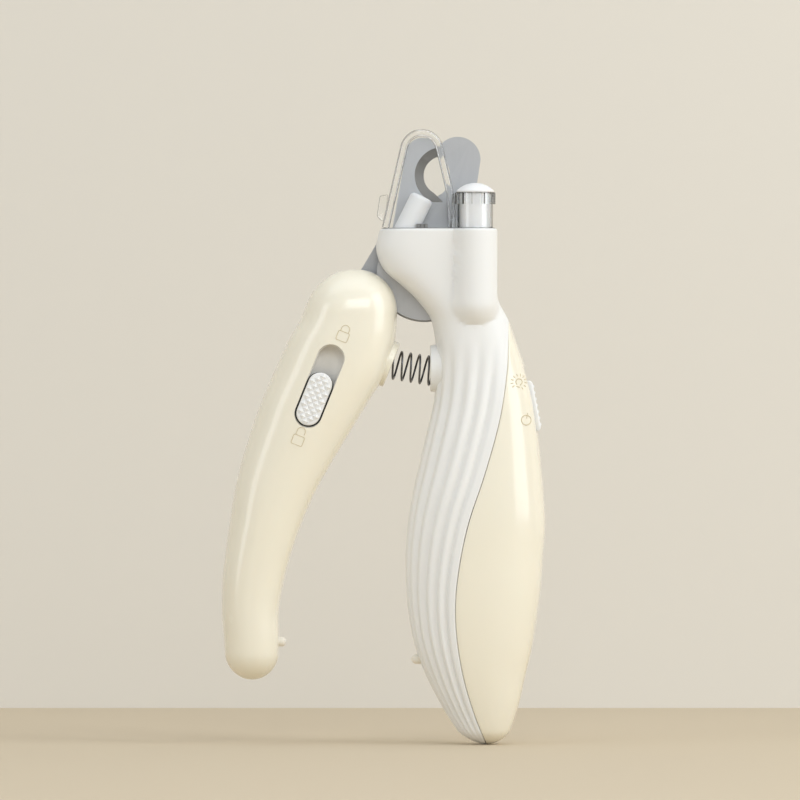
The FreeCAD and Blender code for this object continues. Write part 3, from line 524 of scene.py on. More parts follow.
metals = {
    # the last colour of the blade steel entry is painted shade for its tilted bevel faces
    "bladeSteel": {"colour": (190, 192, 195), "streak": (178, 180, 183), "rough": 0.5, "metal": 0.35,
                   "lines": 0.06, "wear": 0.2, "bevelShade": (118, 116, 112)},
    "screwSteel": {"colour": (168, 168, 168), "streak": (142, 142, 142), "rough": 0.3, "metal": 1.0,
                   "lines": 0.06},
    "springSteel": {"colour": (92, 92, 95), "streak": (58, 58, 60), "rough": 0.3, "metal": 1.0,
                    "lines": 0.08},
    "cellSteel": {"colour": (206, 202, 194), "streak": (186, 182, 172), "rough": 0.16, "metal": 1.0,
                  "lines": 0.03},
    "contactBrass": {"colour": (205, 172, 104), "streak": (176, 142, 78), "rough": 0.28, "metal": 1.0,
                     "lines": 0.05},
}


def useGroup(tree, group, **values):
    node = tree.nodes.new("ShaderNodeGroup")
    node.node_tree = group
    setInputs(tree, node, {label.replace("_", " "): value for label, value in values.items()})
    return node.outputs


def mixColour(tree, factor, a, b):
    node = tree.nodes.new("ShaderNodeMix")
    node.data_type = "RGBA"
    setInputs(tree, node, {0: factor, 6: a, 7: b})
    return node.outputs[2]


def bumpNode(tree, height, distance, strength):
    values = {"Distance": distance, "Strength": strength, "Height": height}
    return addNode(tree, "ShaderNodeBump", values).outputs["Normal"]


def newMaterial(name):
    material = bpy.data.materials.new(name)
    material.use_nodes = True
    tree = material.node_tree
    return material, tree, tree.nodes["Principled BSDF"]


def plasticFinish(name, spec):
    material, tree, shader = newMaterial(name)
    grain = useGroup(tree, mouldGrain, Grain_Scale=spec["grainScale"], Flow_Scale=60.0)
    wear = useGroup(tree, edgeWear, Amount=0.55, Breakup_Scale=800.0)
    dust = useGroup(tree, settledDust, Amount=0.35)
    worn = linear(*spec["worn"])
    tone = mixColour(tree, times(tree, grain["Tone"], 0.10), linear(*spec["colour"]), worn)
    tone = mixColour(tree, wear["Mask"], tone, worn)
    tone = mixColour(tree, dust["Mask"], tone, linear(*spec["dust"]))
    rough = plus(tree, times(tree, grain["Sheen Mask"], 0.07), spec["rough"] - 0.035)
    setInputs(tree, shader, {
        "Base Color": tone,
        "Roughness": plus(tree, rough, times(tree, dust["Mask"], 0.25)),
        "Normal": bumpNode(tree, grain["Height"], 0.00002, spec["grain"]),
        "Coat Weight": spec["coat"],
        "Coat Roughness": 0.12,
        "Subsurface Weight": spec["subsurface"],
        "Subsurface Radius": (1.0, 0.8, 0.6),
        "Subsurface Scale": 0.0012,
    })
    return material


def metalFinish(name, spec):
    material, tree, shader = newMaterial(name)
    lines = useGroup(tree, brushedLines, Across_Scale=5200.0, Along_Scale=90.0)
    wear = useGroup(tree, edgeWear, Amount=spec.get("wear", 0.7), Breakup_Scale=1500.0)
    tone = mixColour(tree, lines["Streak"], linear(*spec["colour"]), linear(*spec["streak"]))
    # painted shade: steel faces that turn away from the front take the darker colour given in the spec
    if "bevelShade" in spec:
        bevelShade = useGroup(tree, bevelShadeMask, Steepness=0.03)
        tone = mixColour(tree, bevelShade["Mask"], tone, linear(*spec["bevelShade"]))
    setInputs(tree, shader, {
        "Base Color": mixColour(tree, wear["Mask"], tone, linear(214, 214, 216)),
        "Roughness": plus(tree, times(tree, lines["Streak"], 0.12), spec["rough"] - 0.06),
        "Metallic": spec["metal"],
        "Normal": bumpNode(tree, lines["Height"], 0.00002, spec["lines"]),
    })
    return material


def clearFinish():
    material, tree, shader = newMaterial("clearPlastic")
    grain = useGroup(tree, mouldGrain, Grain_Scale=3000.0, Flow_Scale=90.0)
    wear = useGroup(tree, edgeWear, Amount=0.3, Breakup_Scale=900.0)
    rough = plus(tree, times(tree, grain["Sheen Mask"], 0.03), 0.02)
    tone = mixColour(tree, grain["Tone"], (0.97, 0.98, 0.98, 1), (1.0, 1.0, 1.0, 1))
    # painted shade: the base colour turns dark grey towards grazing angles, painting the dark outlines that
    # refraction gives the clear plastic's edges
    outline = addNode(tree, "ShaderNodeLayerWeight", {"Blend": 0.72})
    edge = mathNode(tree, "POWER", outline.outputs["Facing"], 1.7)
    ray = tree.nodes.new("ShaderNodeLightPath").outputs     # light passes to what stands behind
    passing = mathNode(tree, "MAXIMUM", ray["Is Shadow Ray"], ray["Is Diffuse Ray"])
    setInputs(tree, shader, {
        "Base Color": mixColour(tree, edge, tone, (0.1, 0.1, 0.1, 1)),
        "Roughness": plus(tree, rough, times(tree, wear["Mask"], 0.25)),
        "Alpha": minus(tree, 1.0, times(tree, passing, 0.9)),
        "Normal": bumpNode(tree, grain["Tone"], 0.00004, 0.05),
        "Transmission Weight": 1.0,
        "IOR": 1.49,
    })
    return material


materials = {name: plasticFinish(name, spec) for name, spec in finishes.items()}
materials.update({name: metalFinish(name, spec) for name, spec in metals.items()})
materials["clearPlastic"] = clearFinish()
print("finishes ready:", len(materials))


ribs = {"count": 6.5, "depth": 0.62, "start": 81.0, "full": 66.0, "tipFull": 7.0}


def ribInset(z, u):
    fade = smooth((ribs["start"] - z) / (ribs["start"] - ribs["full"])) * smooth(z / ribs["tipFull"])
    sides = smooth(u * ribs["count"] * 1.3 - 0.35) * smooth((1 - u) * 5)
    wave = 0.5 + 0.5 * math.cos(2 * math.pi * (u * ribs["count"]))
    return ribs["depth"] * fade * sides * wave ** 1.25


def bodyHalf(side, columns=60):
    outer, inner = [], []
    wall = grip["wall"]
    zs = heights(grip, grip["low"], grip["high"] - grip["deckRound"], grip["step"])
    turns = [zs[-1] + grip["deckRound"] * math.sin(a * math.pi / 12) for a in range(1, 7)]
    levels = [(z, 0.0, 1.0) for z in zs]
    for z in turns:
        drop = grip["deckRound"] - math.sqrt(max(grip["deckRound"] ** 2 - (z - zs[-1]) ** 2, 0.0))
        levels.append((z, drop, 1.0))
    levels += [(grip["high"], grip["deckRound"], keep) for keep in (0.9, 0.7, 0.45, 0.2, 0.0)]
    for z, drop, keep in levels:
        start = seamAngle(z)
        rowOuter, rowInner = [], []
        zIn = 3.0 + (z - grip["low"]) * (grip["high"] - wall - 3.0) / (grip["high"] - grip["low"])
        middle, r = gripReach(z, -start)
        edges = [d / max(r, 1.0) for d in edgeSteps]
        startGap = (seam["gap"] / 2 if start else 0.02) / max(r, 1.0)
        first = start + startGap
        last = math.pi - 0.02 / max(r, 1.0)
        for a in spreadAngles(first, last, edges, columns):
            u = (a - start) / (math.pi - start)
            nearEdge = min((a - first), (last - a)) * max(r, 1.0)
            signed = a * side
            inset = drop + softEdge(nearEdge) + ribInset(z, u)
            middle, r2 = gripReach(z, signed, drop)
            r2 = max(r2 - (inset - drop), 0.05)
            rowOuter.append((middle + r2 * math.cos(a), r2 * math.sin(signed) * keep, z))
            middle, r3 = gripReach(zIn, signed, wall)
            rowInner.append((middle + r3 * math.cos(a), r3 * math.sin(signed) * keep, zIn))
        outer.append(rowOuter)
        inner.append(rowInner)
    return meshFromRows("bodyHalf", outer, inner)


def coverShell(columns=44):
    outer, inner = [], []
    top = 84.4
    while seamAngle(top) < 0.03:
        top -= 0.05
    for z in heights(grip, grip["low"], top, grip["step"]):
        spread = seamAngle(z)
        middle, r = gripReach(z, 0.0)
        half = max(spread - seam["gap"] / 2 / max(r, 1.0), 0.01)
        edges = [min(d / max(r, 1.0), half * 0.3 * d / edgeSteps[-1]) for d in edgeSteps]
        zIn = 3.0 + (z - grip["low"]) * (top - 1.0 - 3.0) / (top - grip["low"])
        rowOuter, rowInner = [], []
        for a in spreadAngles(-half, half, edges, columns):
            nearEdge = min(a + half, half - a) * max(r, 1.0)
            middle, r2 = gripReach(z, a)
            r2 = max(r2 - softEdge(nearEdge), 0.05)
            rowOuter.append((middle + r2 * math.cos(a), r2 * math.sin(a), z))
            middle, r3 = gripReach(zIn, a, grip["wall"])
            rowInner.append((middle + r3 * math.cos(a), r3 * math.sin(a), zIn))
        outer.append(rowOuter)
        inner.append(rowInner)
    return meshFromRows("cover", outer, inner)


def holeMesh(x, y, z, radius, length, direction, segments=48):
    return spunMesh([(radius, 0.0), (radius, length)], (x, y, z), direction, segments)


def roundedBoxPoints(x0, x1, z0, z1, r, steps=6):
    points = []
    centres = ((x1 - r, z1 - r), (x0 + r, z1 - r), (x0 + r, z0 + r), (x1 - r, z0 + r))
    for (cx, cz), start in zip(centres, (0, 90, 180, 270)):
        for k in range(steps + 1):
            a = math.radians(start + 90 * k / steps)
            points.append((cx + r * math.cos(a), cz + r * math.sin(a)))
    return points


pivot = {"x": 7.9, "z": 91.8, "sweep": 16.3}
bladeSlot = {
    "half": 1.8, "hub": 9.65,
    "outline": [(9.6, 82.0), (9.6, 84.5), (20.3, 84.5), (20.3, 106.0), (-7.0, 106.0), (-7.0, 82.0)],
}
cupSeat = {"radius": 4.62, "grip": (9.05, 0, 73.3)}
bumper = {"radius": 0.95, "grip": (4.9, 0, 16.6), "lever": (-22.6, 0, 20.0)}
screwHead = 1.95
bodyScrews = [(19.0, 88.4, 5.4), (12.4, 55.0, 5.4), (12.4, 14.4, 4.6)]


def leanedAxis(spec):
    a = math.radians(spec["lean"])
    return Vector((math.sin(a), 0, math.cos(a)))


def makeBody():
    leanAxis = leanedAxis(nailLight)
    foot = Vector(nailLight["foot"]) - leanAxis * 2
    front = (0, 1, 0)
    lightHoles = [holeMesh(lamp["x"], lamp["y"], 86.0, guard["sleeveOut"], 20, (0, 0, 1)),
                  holeMesh(*foot, nailLight["radius"] + 0.03, 6, leanAxis)]
    screwHoles = [holeMesh(pivot["x"], 6.0, pivot["z"], 3.2, 8, front)]
    screwHoles += [holeMesh(x, depth, z, screwHead, 12, front, 32) for x, z, depth in bodyScrews]
    for name, node, side, first, last in (("bodyShellFront", "body_front_shell", -1, lightHoles, []),
                                          ("bodyShellBack", "body_back_shell", 1, [], screwHoles)):
        shell = addObject(name, bodyHalf(side))
        half = bladeSlot["half"]
        boolean(shell, [
            prismMesh(bladeSlot["outline"], -half, half),
            holeMesh(pivot["x"], -half, pivot["z"], bladeSlot["hub"], 2 * half, front, 96),
            *first,
            holeMesh(*cupSeat["grip"], cupSeat["radius"], 6, (1, 0, 0)),
            holeMesh(*bumper["grip"], bumper["radius"], 5, (1, 0, 0), 24),
            *last,
        ])
        finishPiece(shell, "body", "whiteSatin", [node])
    print("body shells ready")


switchSpec = {"lean": -10.6, "length": 10.0, "width": 5.6, "ridges": 7, "pitch": 1.25,
              "centre": (29.35, 0, 66.0), "travel": 2.6, "ridgeWidth": 4.8, "ridgeRadius": 0.36}
door = {"left": 18.6, "right": 28.4, "low": 24.6, "high": 50.6, "gap": 0.15, "corner": 2.0,
        "screw": (23.5, 48.0), "screwHole": 0.95, "screwHead": 1.8, "screwDepth": 7.9}


def switchPoint(alongSlide, out):
    centre = Vector(switchSpec["centre"])
    a = math.radians(switchSpec["lean"])
    slide = Vector((math.sin(a), 0, math.cos(a))) * alongSlide
    return centre + slide + Vector((math.cos(a), 0, -math.sin(a))) * out


def switchBox(middle, low, length, width, thick):
    corners = []
    for dz, dx in ((-0.5, 0), (0.5, 0), (0.5, 1), (-0.5, 1)):
        p = switchPoint(middle + dz * length, low + dx * thick)
        corners.append((p.x, p.z))
    return prismMesh(corners, -width / 2, width / 2)


def makeCover():
    g, r = door["gap"], door["corner"]
    left, right, low, high = door["left"], door["right"], door["low"], door["high"]
    doorOutline = roundedBoxPoints(left, right, low, high, r)
    doorway = roundedBoxPoints(left - g, right + g, low - g, high + g, r + g)
    cover = addObject("gripCover", coverShell())
    panel = addObject("batteryDoor", cover.data.copy())
    boolean(panel, [prismMesh(doorOutline, 4.0, 20.0)], "INTERSECT")
    x, z = door["screw"]
    boolean(panel, [holeMesh(x, 0, z, door["screwHole"], 20, (0, 1, 0), 24),
                    holeMesh(x, door["screwDepth"], z, door["screwHead"], 10, (0, 1, 0), 40)])
    travel = switchSpec["travel"]
    slotLength = switchSpec["length"] + travel + 0.5
    boolean(cover, [
        prismMesh(doorway, 4.0, 20.0),
        switchBox(travel / 2, -0.9, slotLength, switchSpec["width"] + 0.5, 6),
        switchBox(travel / 2, -5, 6.0, 2.2, 6),
    ])
    finishPiece(cover, "body", "creamGloss", ["grip_cover"])
    finishPiece(panel, "body", "creamGloss", ["battery_door"])
    print("cover and battery door ready")


lever = {
    "rows": [
        (12.6, -25.6, 5.0, 5.9, 2.2), (20.3, -25.75, 5.35, 6.6, 2.3), (26.1, -25.95, 5.55, 6.9, 2.3),
        (32.0, -25.4, 6.0, 7.2, 2.4), (37.8, -24.3, 6.5, 7.6, 2.4), (43.7, -22.8, 7.1, 8.0, 2.4),
        (49.5, -21.05, 7.95, 8.3, 2.5), (55.4, -18.7, 8.9, 8.6, 2.5), (61.2, -16.05, 9.75, 8.9, 2.5),
        (67.1, -13.2, 10.5, 9.1, 2.6), (72.9, -10.2, 11.0, 9.2, 2.6), (78.8, -8.1, 10.4, 9.1, 2.6),
        (84.0, -6.5, 9.2, 8.8, 2.5), (92.8, -5.5, 8.8, 8.3, 2.4),
    ],
    "low": 12.62, "high": 92.78, "lowRound": 5.2, "highRound": 8.8,
    "wall": 1.5, "step": 0.6,
}
leverScrews = [(-9.8, 81.6, 5.2), (-8.9, 64.4, 5.2), (-26.0, 22.6, 4.0), (-22.6, 46.6, 5.2)]


def leverHalf(side, columns=64):
    outer, inner = [], []
    wall = lever["wall"]
    for z in heights(lever, lever["low"], lever["high"], lever["step"]):
        middle, halfWidth, halfDepth, square = section(lever, z)
        size = max(halfWidth, 1.0)
        edges = [d / size for d in edgeSteps]
        first = 0.02 / size
        last = math.pi - first
        share = (z - lever["low"]) / (lever["high"] - lever["low"])
        zIn = lever["low"] + 1.8 + share * (lever["high"] - lever["low"] - 3.6)
        inMiddle, inWidth, inDepth, inSquare = section(lever, zIn, wall)
        rowOuter, rowInner = [], []
        for a in spreadAngles(first, last, edges, columns):
            near = min(a - first, last - a) * size
            r = max(reach(halfWidth, halfDepth, square, a) - softEdge(near), 0.05)
            rowOuter.append((middle + r * math.cos(a), side * r * math.sin(a), z))
            r = reach(inWidth, inDepth, inSquare, a)
            rowInner.append((inMiddle + r * math.cos(a), side * r * math.sin(a), zIn))
        outer.append(rowOuter)
        inner.append(rowInner)
    return meshFromRows("leverHalf", outer, inner)


leverCupDirection = Vector((math.cos(math.radians(22)), 0, -math.sin(math.radians(22))))
leverCupFace = Vector((1.6, 0, 73.9))


def makeLever():
    seat = leverCupFace - leverCupDirection * 5.2
    slotPoints = obroundPoints(lock["x"], lock["z"], lock["slotLength"], lock["slotWidth"], lock["lean"])
    front = (0, 1, 0)
    screwHoles = [holeMesh(x, depth, z, screwHead, 12, front, 32) for x, z, depth in leverScrews]
    for name, node, side, slot, last in (
            ("leverShellFront", "lever_front_shell", -1, [prismMesh(slotPoints, -20.0, -4.0)], []),
            ("leverShellBack", "lever_back_shell", 1, [], screwHoles)):
        shell = addObject(name, leverHalf(side))
        boolean(shell, [
            holeMesh(pivot["x"], -2.0, pivot["z"], pivot["sweep"], 3.8, front, 96),
            *slot,
            holeMesh(*seat, cupSeat["radius"], 9, leverCupDirection),
            holeMesh(*bumper["lever"], bumper["radius"], 6, (1, 0, 0), 24),
            *last,
        ])
        finishPiece(shell, "lever", "creamGloss", [node])
    print("lever shells ready")


# pieces that repeat or wind are geometry node trees with named inputs
def geometryTree(name, inputs):
    tree = bpy.data.node_groups.new(name, "GeometryNodeTree")
    tree.interface.new_socket(name="Geometry", in_out="INPUT", socket_type="NodeSocketGeometry")
    sockets = {}
    for label, kind, value in inputs:
        socket = tree.interface.new_socket(name=label, in_out="INPUT", socket_type=kind)
        if value is not None:
            socket.default_value = value
        sockets[label] = socket.identifier
    tree.interface.new_socket(name="Geometry", in_out="OUTPUT", socket_type="NodeSocketGeometry")
    return tree, sockets, tree.nodes.new("NodeGroupInput").outputs, tree.nodes.new("NodeGroupOutput")


def closeTree(tree, given, out, geometry):
    realize = addNode(tree, "GeometryNodeRealizeInstances", {0: geometry})
    paint = addNode(tree, "GeometryNodeSetMaterial", {
        "Geometry": realize.outputs[0], "Material": given["Material"]})
    setInputs(tree, out, {0: paint.outputs[0]})


def runTree(name, tree, sockets, values, source=None):
    obj = addObject(name, source or bpy.data.meshes.new(name))
    modifier = obj.modifiers.new(name, "NODES")
    modifier.node_group = tree
    for label, value in values.items():
        modifier[sockets[label]] = value
    bake(obj)
    return obj


def coilTree():
    tree, sockets, given, out = geometryTree("coil", [
        ("Turns", "NodeSocketFloat", 8.0), ("Radius", "NodeSocketFloat", 0.00275),
        ("Length", "NodeSocketFloat", 0.014), ("Wire", "NodeSocketFloat", 0.00023),
        ("Material", "NodeSocketMaterial", None)])
    spiral = addNode(tree, "GeometryNodeCurveSpiral", {
        "Resolution": 40, "Reverse": True, "Rotations": given["Turns"], "Start Radius": given["Radius"],
        "End Radius": given["Radius"], "Height": given["Length"]})
    profile = addNode(tree, "GeometryNodeCurvePrimitiveCircle", {"Resolution": 14, "Radius": given["Wire"]})
    solid = addNode(tree, "GeometryNodeCurveToMesh", {
        "Fill Caps": True, "Curve": spiral.outputs[0], "Profile Curve": profile.outputs[0]})
    closeTree(tree, given, out, solid.outputs[0])
    return tree, sockets


springSpec = {"left": (-1.2, 0.0, 74.5), "right": (12.7, 0.0, 72.2), "radius": 2.76,
              "wire": 0.2, "turns": 8.0}


def makeSpring():
    left = Vector(springSpec["left"])
    right = Vector(springSpec["right"])
    way = right - left
    tree, sockets = coilTree()
    spring = runTree("returnSpring", tree, sockets, {
        "Turns": springSpec["turns"], "Radius": springSpec["radius"] * mm, "Length": way.length * mm,
        "Wire": springSpec["wire"] * mm, "Material": materials["springSteel"]})
    turn = Vector((0, 0, 1)).rotation_difference(way.normalized()).to_matrix().to_4x4()
    spring.data.transform(Matrix.Translation(left * mm) @ turn)
    tidyMesh(spring.data)
    finishPiece(spring, None, "springSteel", ["return_spring"])
    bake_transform(spring)
    print("spring:", len(spring.data.polygons))


def knurlTree():
    tree, sockets, given, out = geometryTree("knurl", [
        ("Pitch", "NodeSocketFloat", 0.00112), ("Height", "NodeSocketFloat", 0.0003),
        ("Material", "NodeSocketMaterial", None)])
    cone = addNode(tree, "GeometryNodeMeshCone", {
        "Vertices": 4, "Radius Top": 0.0, "Radius Bottom": times(tree, given["Pitch"], 0.48),
        "Depth": given["Height"]})
    scatter = addNode(tree, "GeometryNodeInstanceOnPoints", {
        "Points": given["Geometry"], "Instance": cone.outputs["Mesh"]})
    closeTree(tree, given, out, scatter.outputs[0])
    return tree, sockets


lock = {"x": -12.4, "z": 69.8, "lean": 22.0, "slotWidth": 5.4, "slotLength": 17.0, "travel": 5.4,
        "buttonWidth": 4.74, "buttonLength": 10.7, "front": -9.3, "back": -7.02, "pitch": 1.55, "crown": 0.5}


def leaned(x, z, lean, up, across=0.0):
    a = math.radians(lean)
    return x + up * math.sin(a) + across * math.cos(a), z + up * math.cos(a) - across * math.sin(a)


def makeLock():
    bx, bz = leaned(lock["x"], lock["z"], lock["lean"], -lock["travel"] / 2)
    base = lock["front"] + lock["crown"]
    lean, length, width = lock["lean"], lock["buttonLength"], lock["buttonWidth"]
    layers = [(lock["back"], 0.0), (base + 0.3, 0.0), (base + 0.12, -0.06), (base + 0.02, -0.2),
              (base, -0.42)]
    button = addObject("lockButton", layeredMesh(bx, bz, length, width, lean, layers))
    spots = []
    p = lock["pitch"]
    inside = width / 2 - 0.55
    reachUp = length / 2 - width / 2
    count = int(length / p) + 2
    for i in range(-2 * count, 2 * count + 1):
        for j in range(-8, 9):
            if (i + j) % 2:
                continue
            up, across = i * p / 2, j * p / 2
            over = max(abs(up) - reachUp, 0.0)
            if math.hypot(over, across) < inside:
                x, z = leaned(bx, bz, lean, up, across)
                spots.append((x * mm, (base + 0.04) * mm, z * mm))
    points = bpy.data.meshes.new("knurlSpots")
    flat = Matrix.Rotation(math.radians(lean), 4, "Y") @ Matrix.Rotation(math.radians(90), 4, "X")
    points.from_pydata([flat.inverted() @ Vector(s) for s in spots], [], [])
    tree, sockets = knurlTree()
    knurl = runTree("lockKnurl", tree, sockets, {
        "Pitch": p * mm * 1.02, "Height": (lock["crown"] + 0.04) * mm,
        "Material": materials["whiteGloss"]}, points)
    knurl.data.transform(flat)
    tidyMesh(knurl.data)
    finishPiece(button, "lock", "whiteGloss", ["lock_button"])
    finishPiece(knurl, "lock", "whiteGloss", degrees=5)
    # painted shade: a black piece fills the lock slot round the button so the gap shows as a dark line,
    # standing in for the shade in the slot
    slotShade = addObject("lockSlotShade", layeredMesh(
        *leaned(bx, bz, lean, -0.13), length + 0.28, lock["slotWidth"] - 0.1, lean,
        [(lock["back"] + 0.01, 0.0), (base + 0.45, 0.0), (base + 0.35, -0.1), (base + 0.35, -0.5)]))
    finishPiece(slotShade, "lock", "blackAndSlotShade")
    print("lock button:", len(spots), "points of knurl")


def layeredMesh(x, z, length, width, lean, layers):
    bm = bmesh.new()
    rings = []
    for y, grow in layers:
        outline = obroundPoints(x, z, length, width, lean, grow)
        rings.append([bm.verts.new(Vector((px, y, pz)) * mm) for px, pz in outline])
    skin(bm, rings)
    return meshFrom(bm, "layered")


def ridgeTree():
    tree, sockets, given, out = geometryTree("ridges", [
        ("Count", "NodeSocketInt", 7), ("Pitch", "NodeSocketFloat", 0.00125),
        ("Width", "NodeSocketFloat", 0.0048), ("Radius", "NodeSocketFloat", 0.00036),
        ("Material", "NodeSocketMaterial", None)])
    offset = addNode(tree, "ShaderNodeCombineXYZ", {"Z": given["Pitch"]})
    row = addNode(tree, "GeometryNodeMeshLine", {"Count": given["Count"], "Offset": offset.outputs[0]})
    bar = addNode(tree, "GeometryNodeMeshCylinder", {
        "Vertices": 16, "Radius": given["Radius"], "Depth": given["Width"]})
    scatter = addNode(tree, "GeometryNodeInstanceOnPoints", {
        "Rotation": (math.pi / 2, 0, 0), "Points": row.outputs[0], "Instance": bar.outputs["Mesh"]})
    closeTree(tree, given, out, scatter.outputs[0])
    return tree, sockets


def makeSwitch():
    half = switchSpec["length"] / 2
    slope, thick = 0.75, 1.22
    outline = [(-half, 0.0), (-half, slope), (-half + 0.5, thick), (half - 0.5, thick), (half, slope),
               (half, 0.0)]
    points = []
    for up, out in outline:
        p = switchPoint(up, out - 0.75)
        points.append((p.x, p.z))
    slider = addObject("lightSwitch", prismMesh(points, -switchSpec["width"] / 2, switchSpec["width"] / 2))
    bevelEdges(slider, 0.25)
    tree, sockets = ridgeTree()
    ridge = runTree("lightSwitchRidges", tree, sockets, {
        "Count": switchSpec["ridges"], "Pitch": switchSpec["pitch"] * mm,
        "Width": switchSpec["ridgeWidth"] * mm, "Radius": switchSpec["ridgeRadius"] * mm,
        "Material": materials["whiteGloss"]})
    low = switchPoint(-(switchSpec["ridges"] - 1) / 2 * switchSpec["pitch"], switchSpec["ridgeRadius"])
    turn = Matrix.Rotation(math.radians(switchSpec["lean"]), 4, "Y")
    ridge.data.transform(Matrix.Translation(low * mm) @ turn)
    finishPiece(slider, "switch", "whiteGloss", ["switch_slider"])
    finishPiece(ridge, "switch", "whiteGloss")
    print("light switch ready")


lamp = {"x": 17.8, "y": -6.2, "tube": 3.1, "rim": 107.35, "lens": 3.66, "rise": 1.55}
nailLight = {"foot": (3.55, -4.25, 98.6), "lean": 26.5, "radius": 2.28, "length": 9.0}


def aroundLamp(name, profile):
    return addObject(name, spunMesh(profile, (lamp["x"], lamp["y"], 0), (0, 0, 1), 96))


def makeLamp():
    r, rim = lamp["tube"], lamp["rim"]
    tube = aroundLamp("lampTube", [
        (1.4, 88.0), (r, 88.0), (r, rim - 0.25), (r - 0.2, rim), (r - 0.8, rim), (r - 0.8, 93.0), (1.4, 93.0),
        (1.4, 88.0)])
    finishPiece(tube, "body", "lampWhite", ["lamp_tube"])
    rise, wide = lamp["rise"], lamp["lens"]
    curve = (wide ** 2 + rise ** 2) / (2 * rise)
    profile = [(0.0, rim - 2.0), (r - 0.85, rim - 2.0), (r - 0.85, rim + 0.02), (wide - 0.12, rim + 0.02),
               (wide, rim + 0.12), (wide, rim + 0.35)]
    for k in range(1, 13):
        a = math.asin(wide / curve) * (1 - k / 12)
        profile.append((curve * math.sin(a), rim + 0.35 + rise - curve + curve * math.cos(a)))
    lens = aroundLamp("lampLens", profile)
    finishPiece(lens, "body", "lampWhite", ["lamp_lens"])

    axis = leanedAxis(nailLight)
    r, length = nailLight["radius"], nailLight["length"]
    profile = [(r - 0.75, -0.1), (r, -0.1), (r, length - 0.8)]
    for k in range(1, 7):
        a = math.radians(15 * k)
        profile.append((r - 0.8 + 0.8 * math.cos(a), length - 0.8 + 0.8 * math.sin(a)))
    profile += [(0.0, length), (0.0, length - 1.0), (r - 0.75, length - 1.0), (r - 0.75, -0.1)]
    tube = addObject("nailLightTube", spunMesh(profile, nailLight["foot"], axis, 72))
    finishPiece(tube, "body", "lampWhite", ["nail_light_tube"])
    print("lights ready")


def bevelEdges(obj, width, segments=3, angle=30):
    bevel = obj.modifiers.new("bevel", "BEVEL")
    bevel.width = width * mm
    bevel.segments = segments
    bevel.limit_method = "ANGLE"
    bevel.angle_limit = math.radians(angle)
    bake(obj)


def softened(node, name, body, finish, width, angle=40, degrees=32):
    obj = addObject(name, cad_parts[node].data.copy())
    bm = bmesh.new()
    bm.from_mesh(obj.data)
    bmesh.ops.remove_doubles(bm, verts=bm.verts, dist=0.000003)
    bmesh.ops.dissolve_limit(bm, angle_limit=math.radians(1.0), verts=bm.verts, edges=bm.edges)
    bm.to_mesh(obj.data)
    bm.free()
    if width:
        bevelEdges(obj, width, 2, angle)
    shade(obj.data, degrees)
    weigh = obj.modifiers.new("weigh", "WEIGHTED_NORMAL")
    weigh.keep_sharp = True
    weigh.weight = 100
    bake(obj)
    return finishPiece(obj, body, finish, [node], 0)


guard = {
    "low": 100.55, "front": -7.5, "back": -2.05, "wall": 1.45, "round": 0.66, "pane": 0.8,
    "archX": 7.4, "archZ": 115.4, "archRadius": 4.25, "leftFoot": -0.35,
    "rightKnee": (13.7, 107.2), "rightFoot": 14.1,
    "tab": [(0.9, 107.0), (-0.55, 106.8), (-0.75, 106.5), (-1.28, 103.0), (-1.2, 102.7),
            (-0.5, 101.9), (0.3, 101.9)],
    "sleeveIn": 3.14, "sleeveOut": 3.46, "bandOut": 3.95, "bandLow": 105.1, "bandHigh": 107.3, "blocks": 12,
}


def archPath(inset):
    c = guard["archRadius"] - inset
    low = guard["low"]
    points = [(guard["leftFoot"] + inset * 1.03, low)]
    start, end = math.radians(180 - 13.5), math.radians(15)
    for k in range(33):
        a = start + (end - start) * k / 32
        points.append((guard["archX"] + c * math.cos(a), guard["archZ"] + c * math.sin(a)))
    kneeX, kneeZ = guard["rightKnee"]
    points += [(kneeX - inset * 1.03, kneeZ), (guard["rightFoot"] - inset, low)]
    dense = [points[0]]
    for (ax, az), (bx, bz) in zip(points[:-1], points[1:]):
        count = max(int(math.hypot(bx - ax, bz - az) / 0.8), 1)
        dense += [(ax + (bx - ax) * k / count, az + (bz - az) * k / count) for k in range(1, count + 1)]
    return dense


def archMesh():
    half = guard["wall"] / 2
    r = guard["round"]
    corners = roundedBoxPoints(-half, half, guard["front"], guard["back"], r, 5)
    profile = [(across * mm, y * mm) for across, y in corners]
    path = archPath(half)
    bm = bmesh.new()
    rings = []
    for k, (x, z) in enumerate(path):
        ax, az = path[max(k - 1, 0)]
        bx, bz = path[min(k + 1, len(path) - 1)]
        way = Vector((bx - ax, 0, bz - az)).normalized()
        side = Vector((-way.z, 0, way.x))
        rings.append([bm.verts.new(Vector((x, 0, z)) * mm + side * across + Vector((0, y, 0)))
                      for across, y in profile])
    skin(bm, rings)
    return meshFrom(bm, "arch")


def aroundTree():
    tree, sockets, given, out = geometryTree("aroundAxis", [
        ("Count", "NodeSocketInt", 12), ("Material", "NodeSocketMaterial", None)])
    spots = addNode(tree, "GeometryNodeMeshLine", {"Count": given["Count"], "Offset": (0, 0, 0)})
    index = tree.nodes.new("GeometryNodeInputIndex").outputs[0]
    turn = mathNode(tree, "DIVIDE", times(tree, index, 2 * math.pi), given["Count"])
    angles = addNode(tree, "ShaderNodeCombineXYZ", {"Z": turn})
    scatter = addNode(tree, "GeometryNodeInstanceOnPoints", {
        "Points": spots.outputs[0], "Instance": given["Geometry"], "Rotation": angles.outputs[0]})
    closeTree(tree, given, out, scatter.outputs[0])
    return tree, sockets


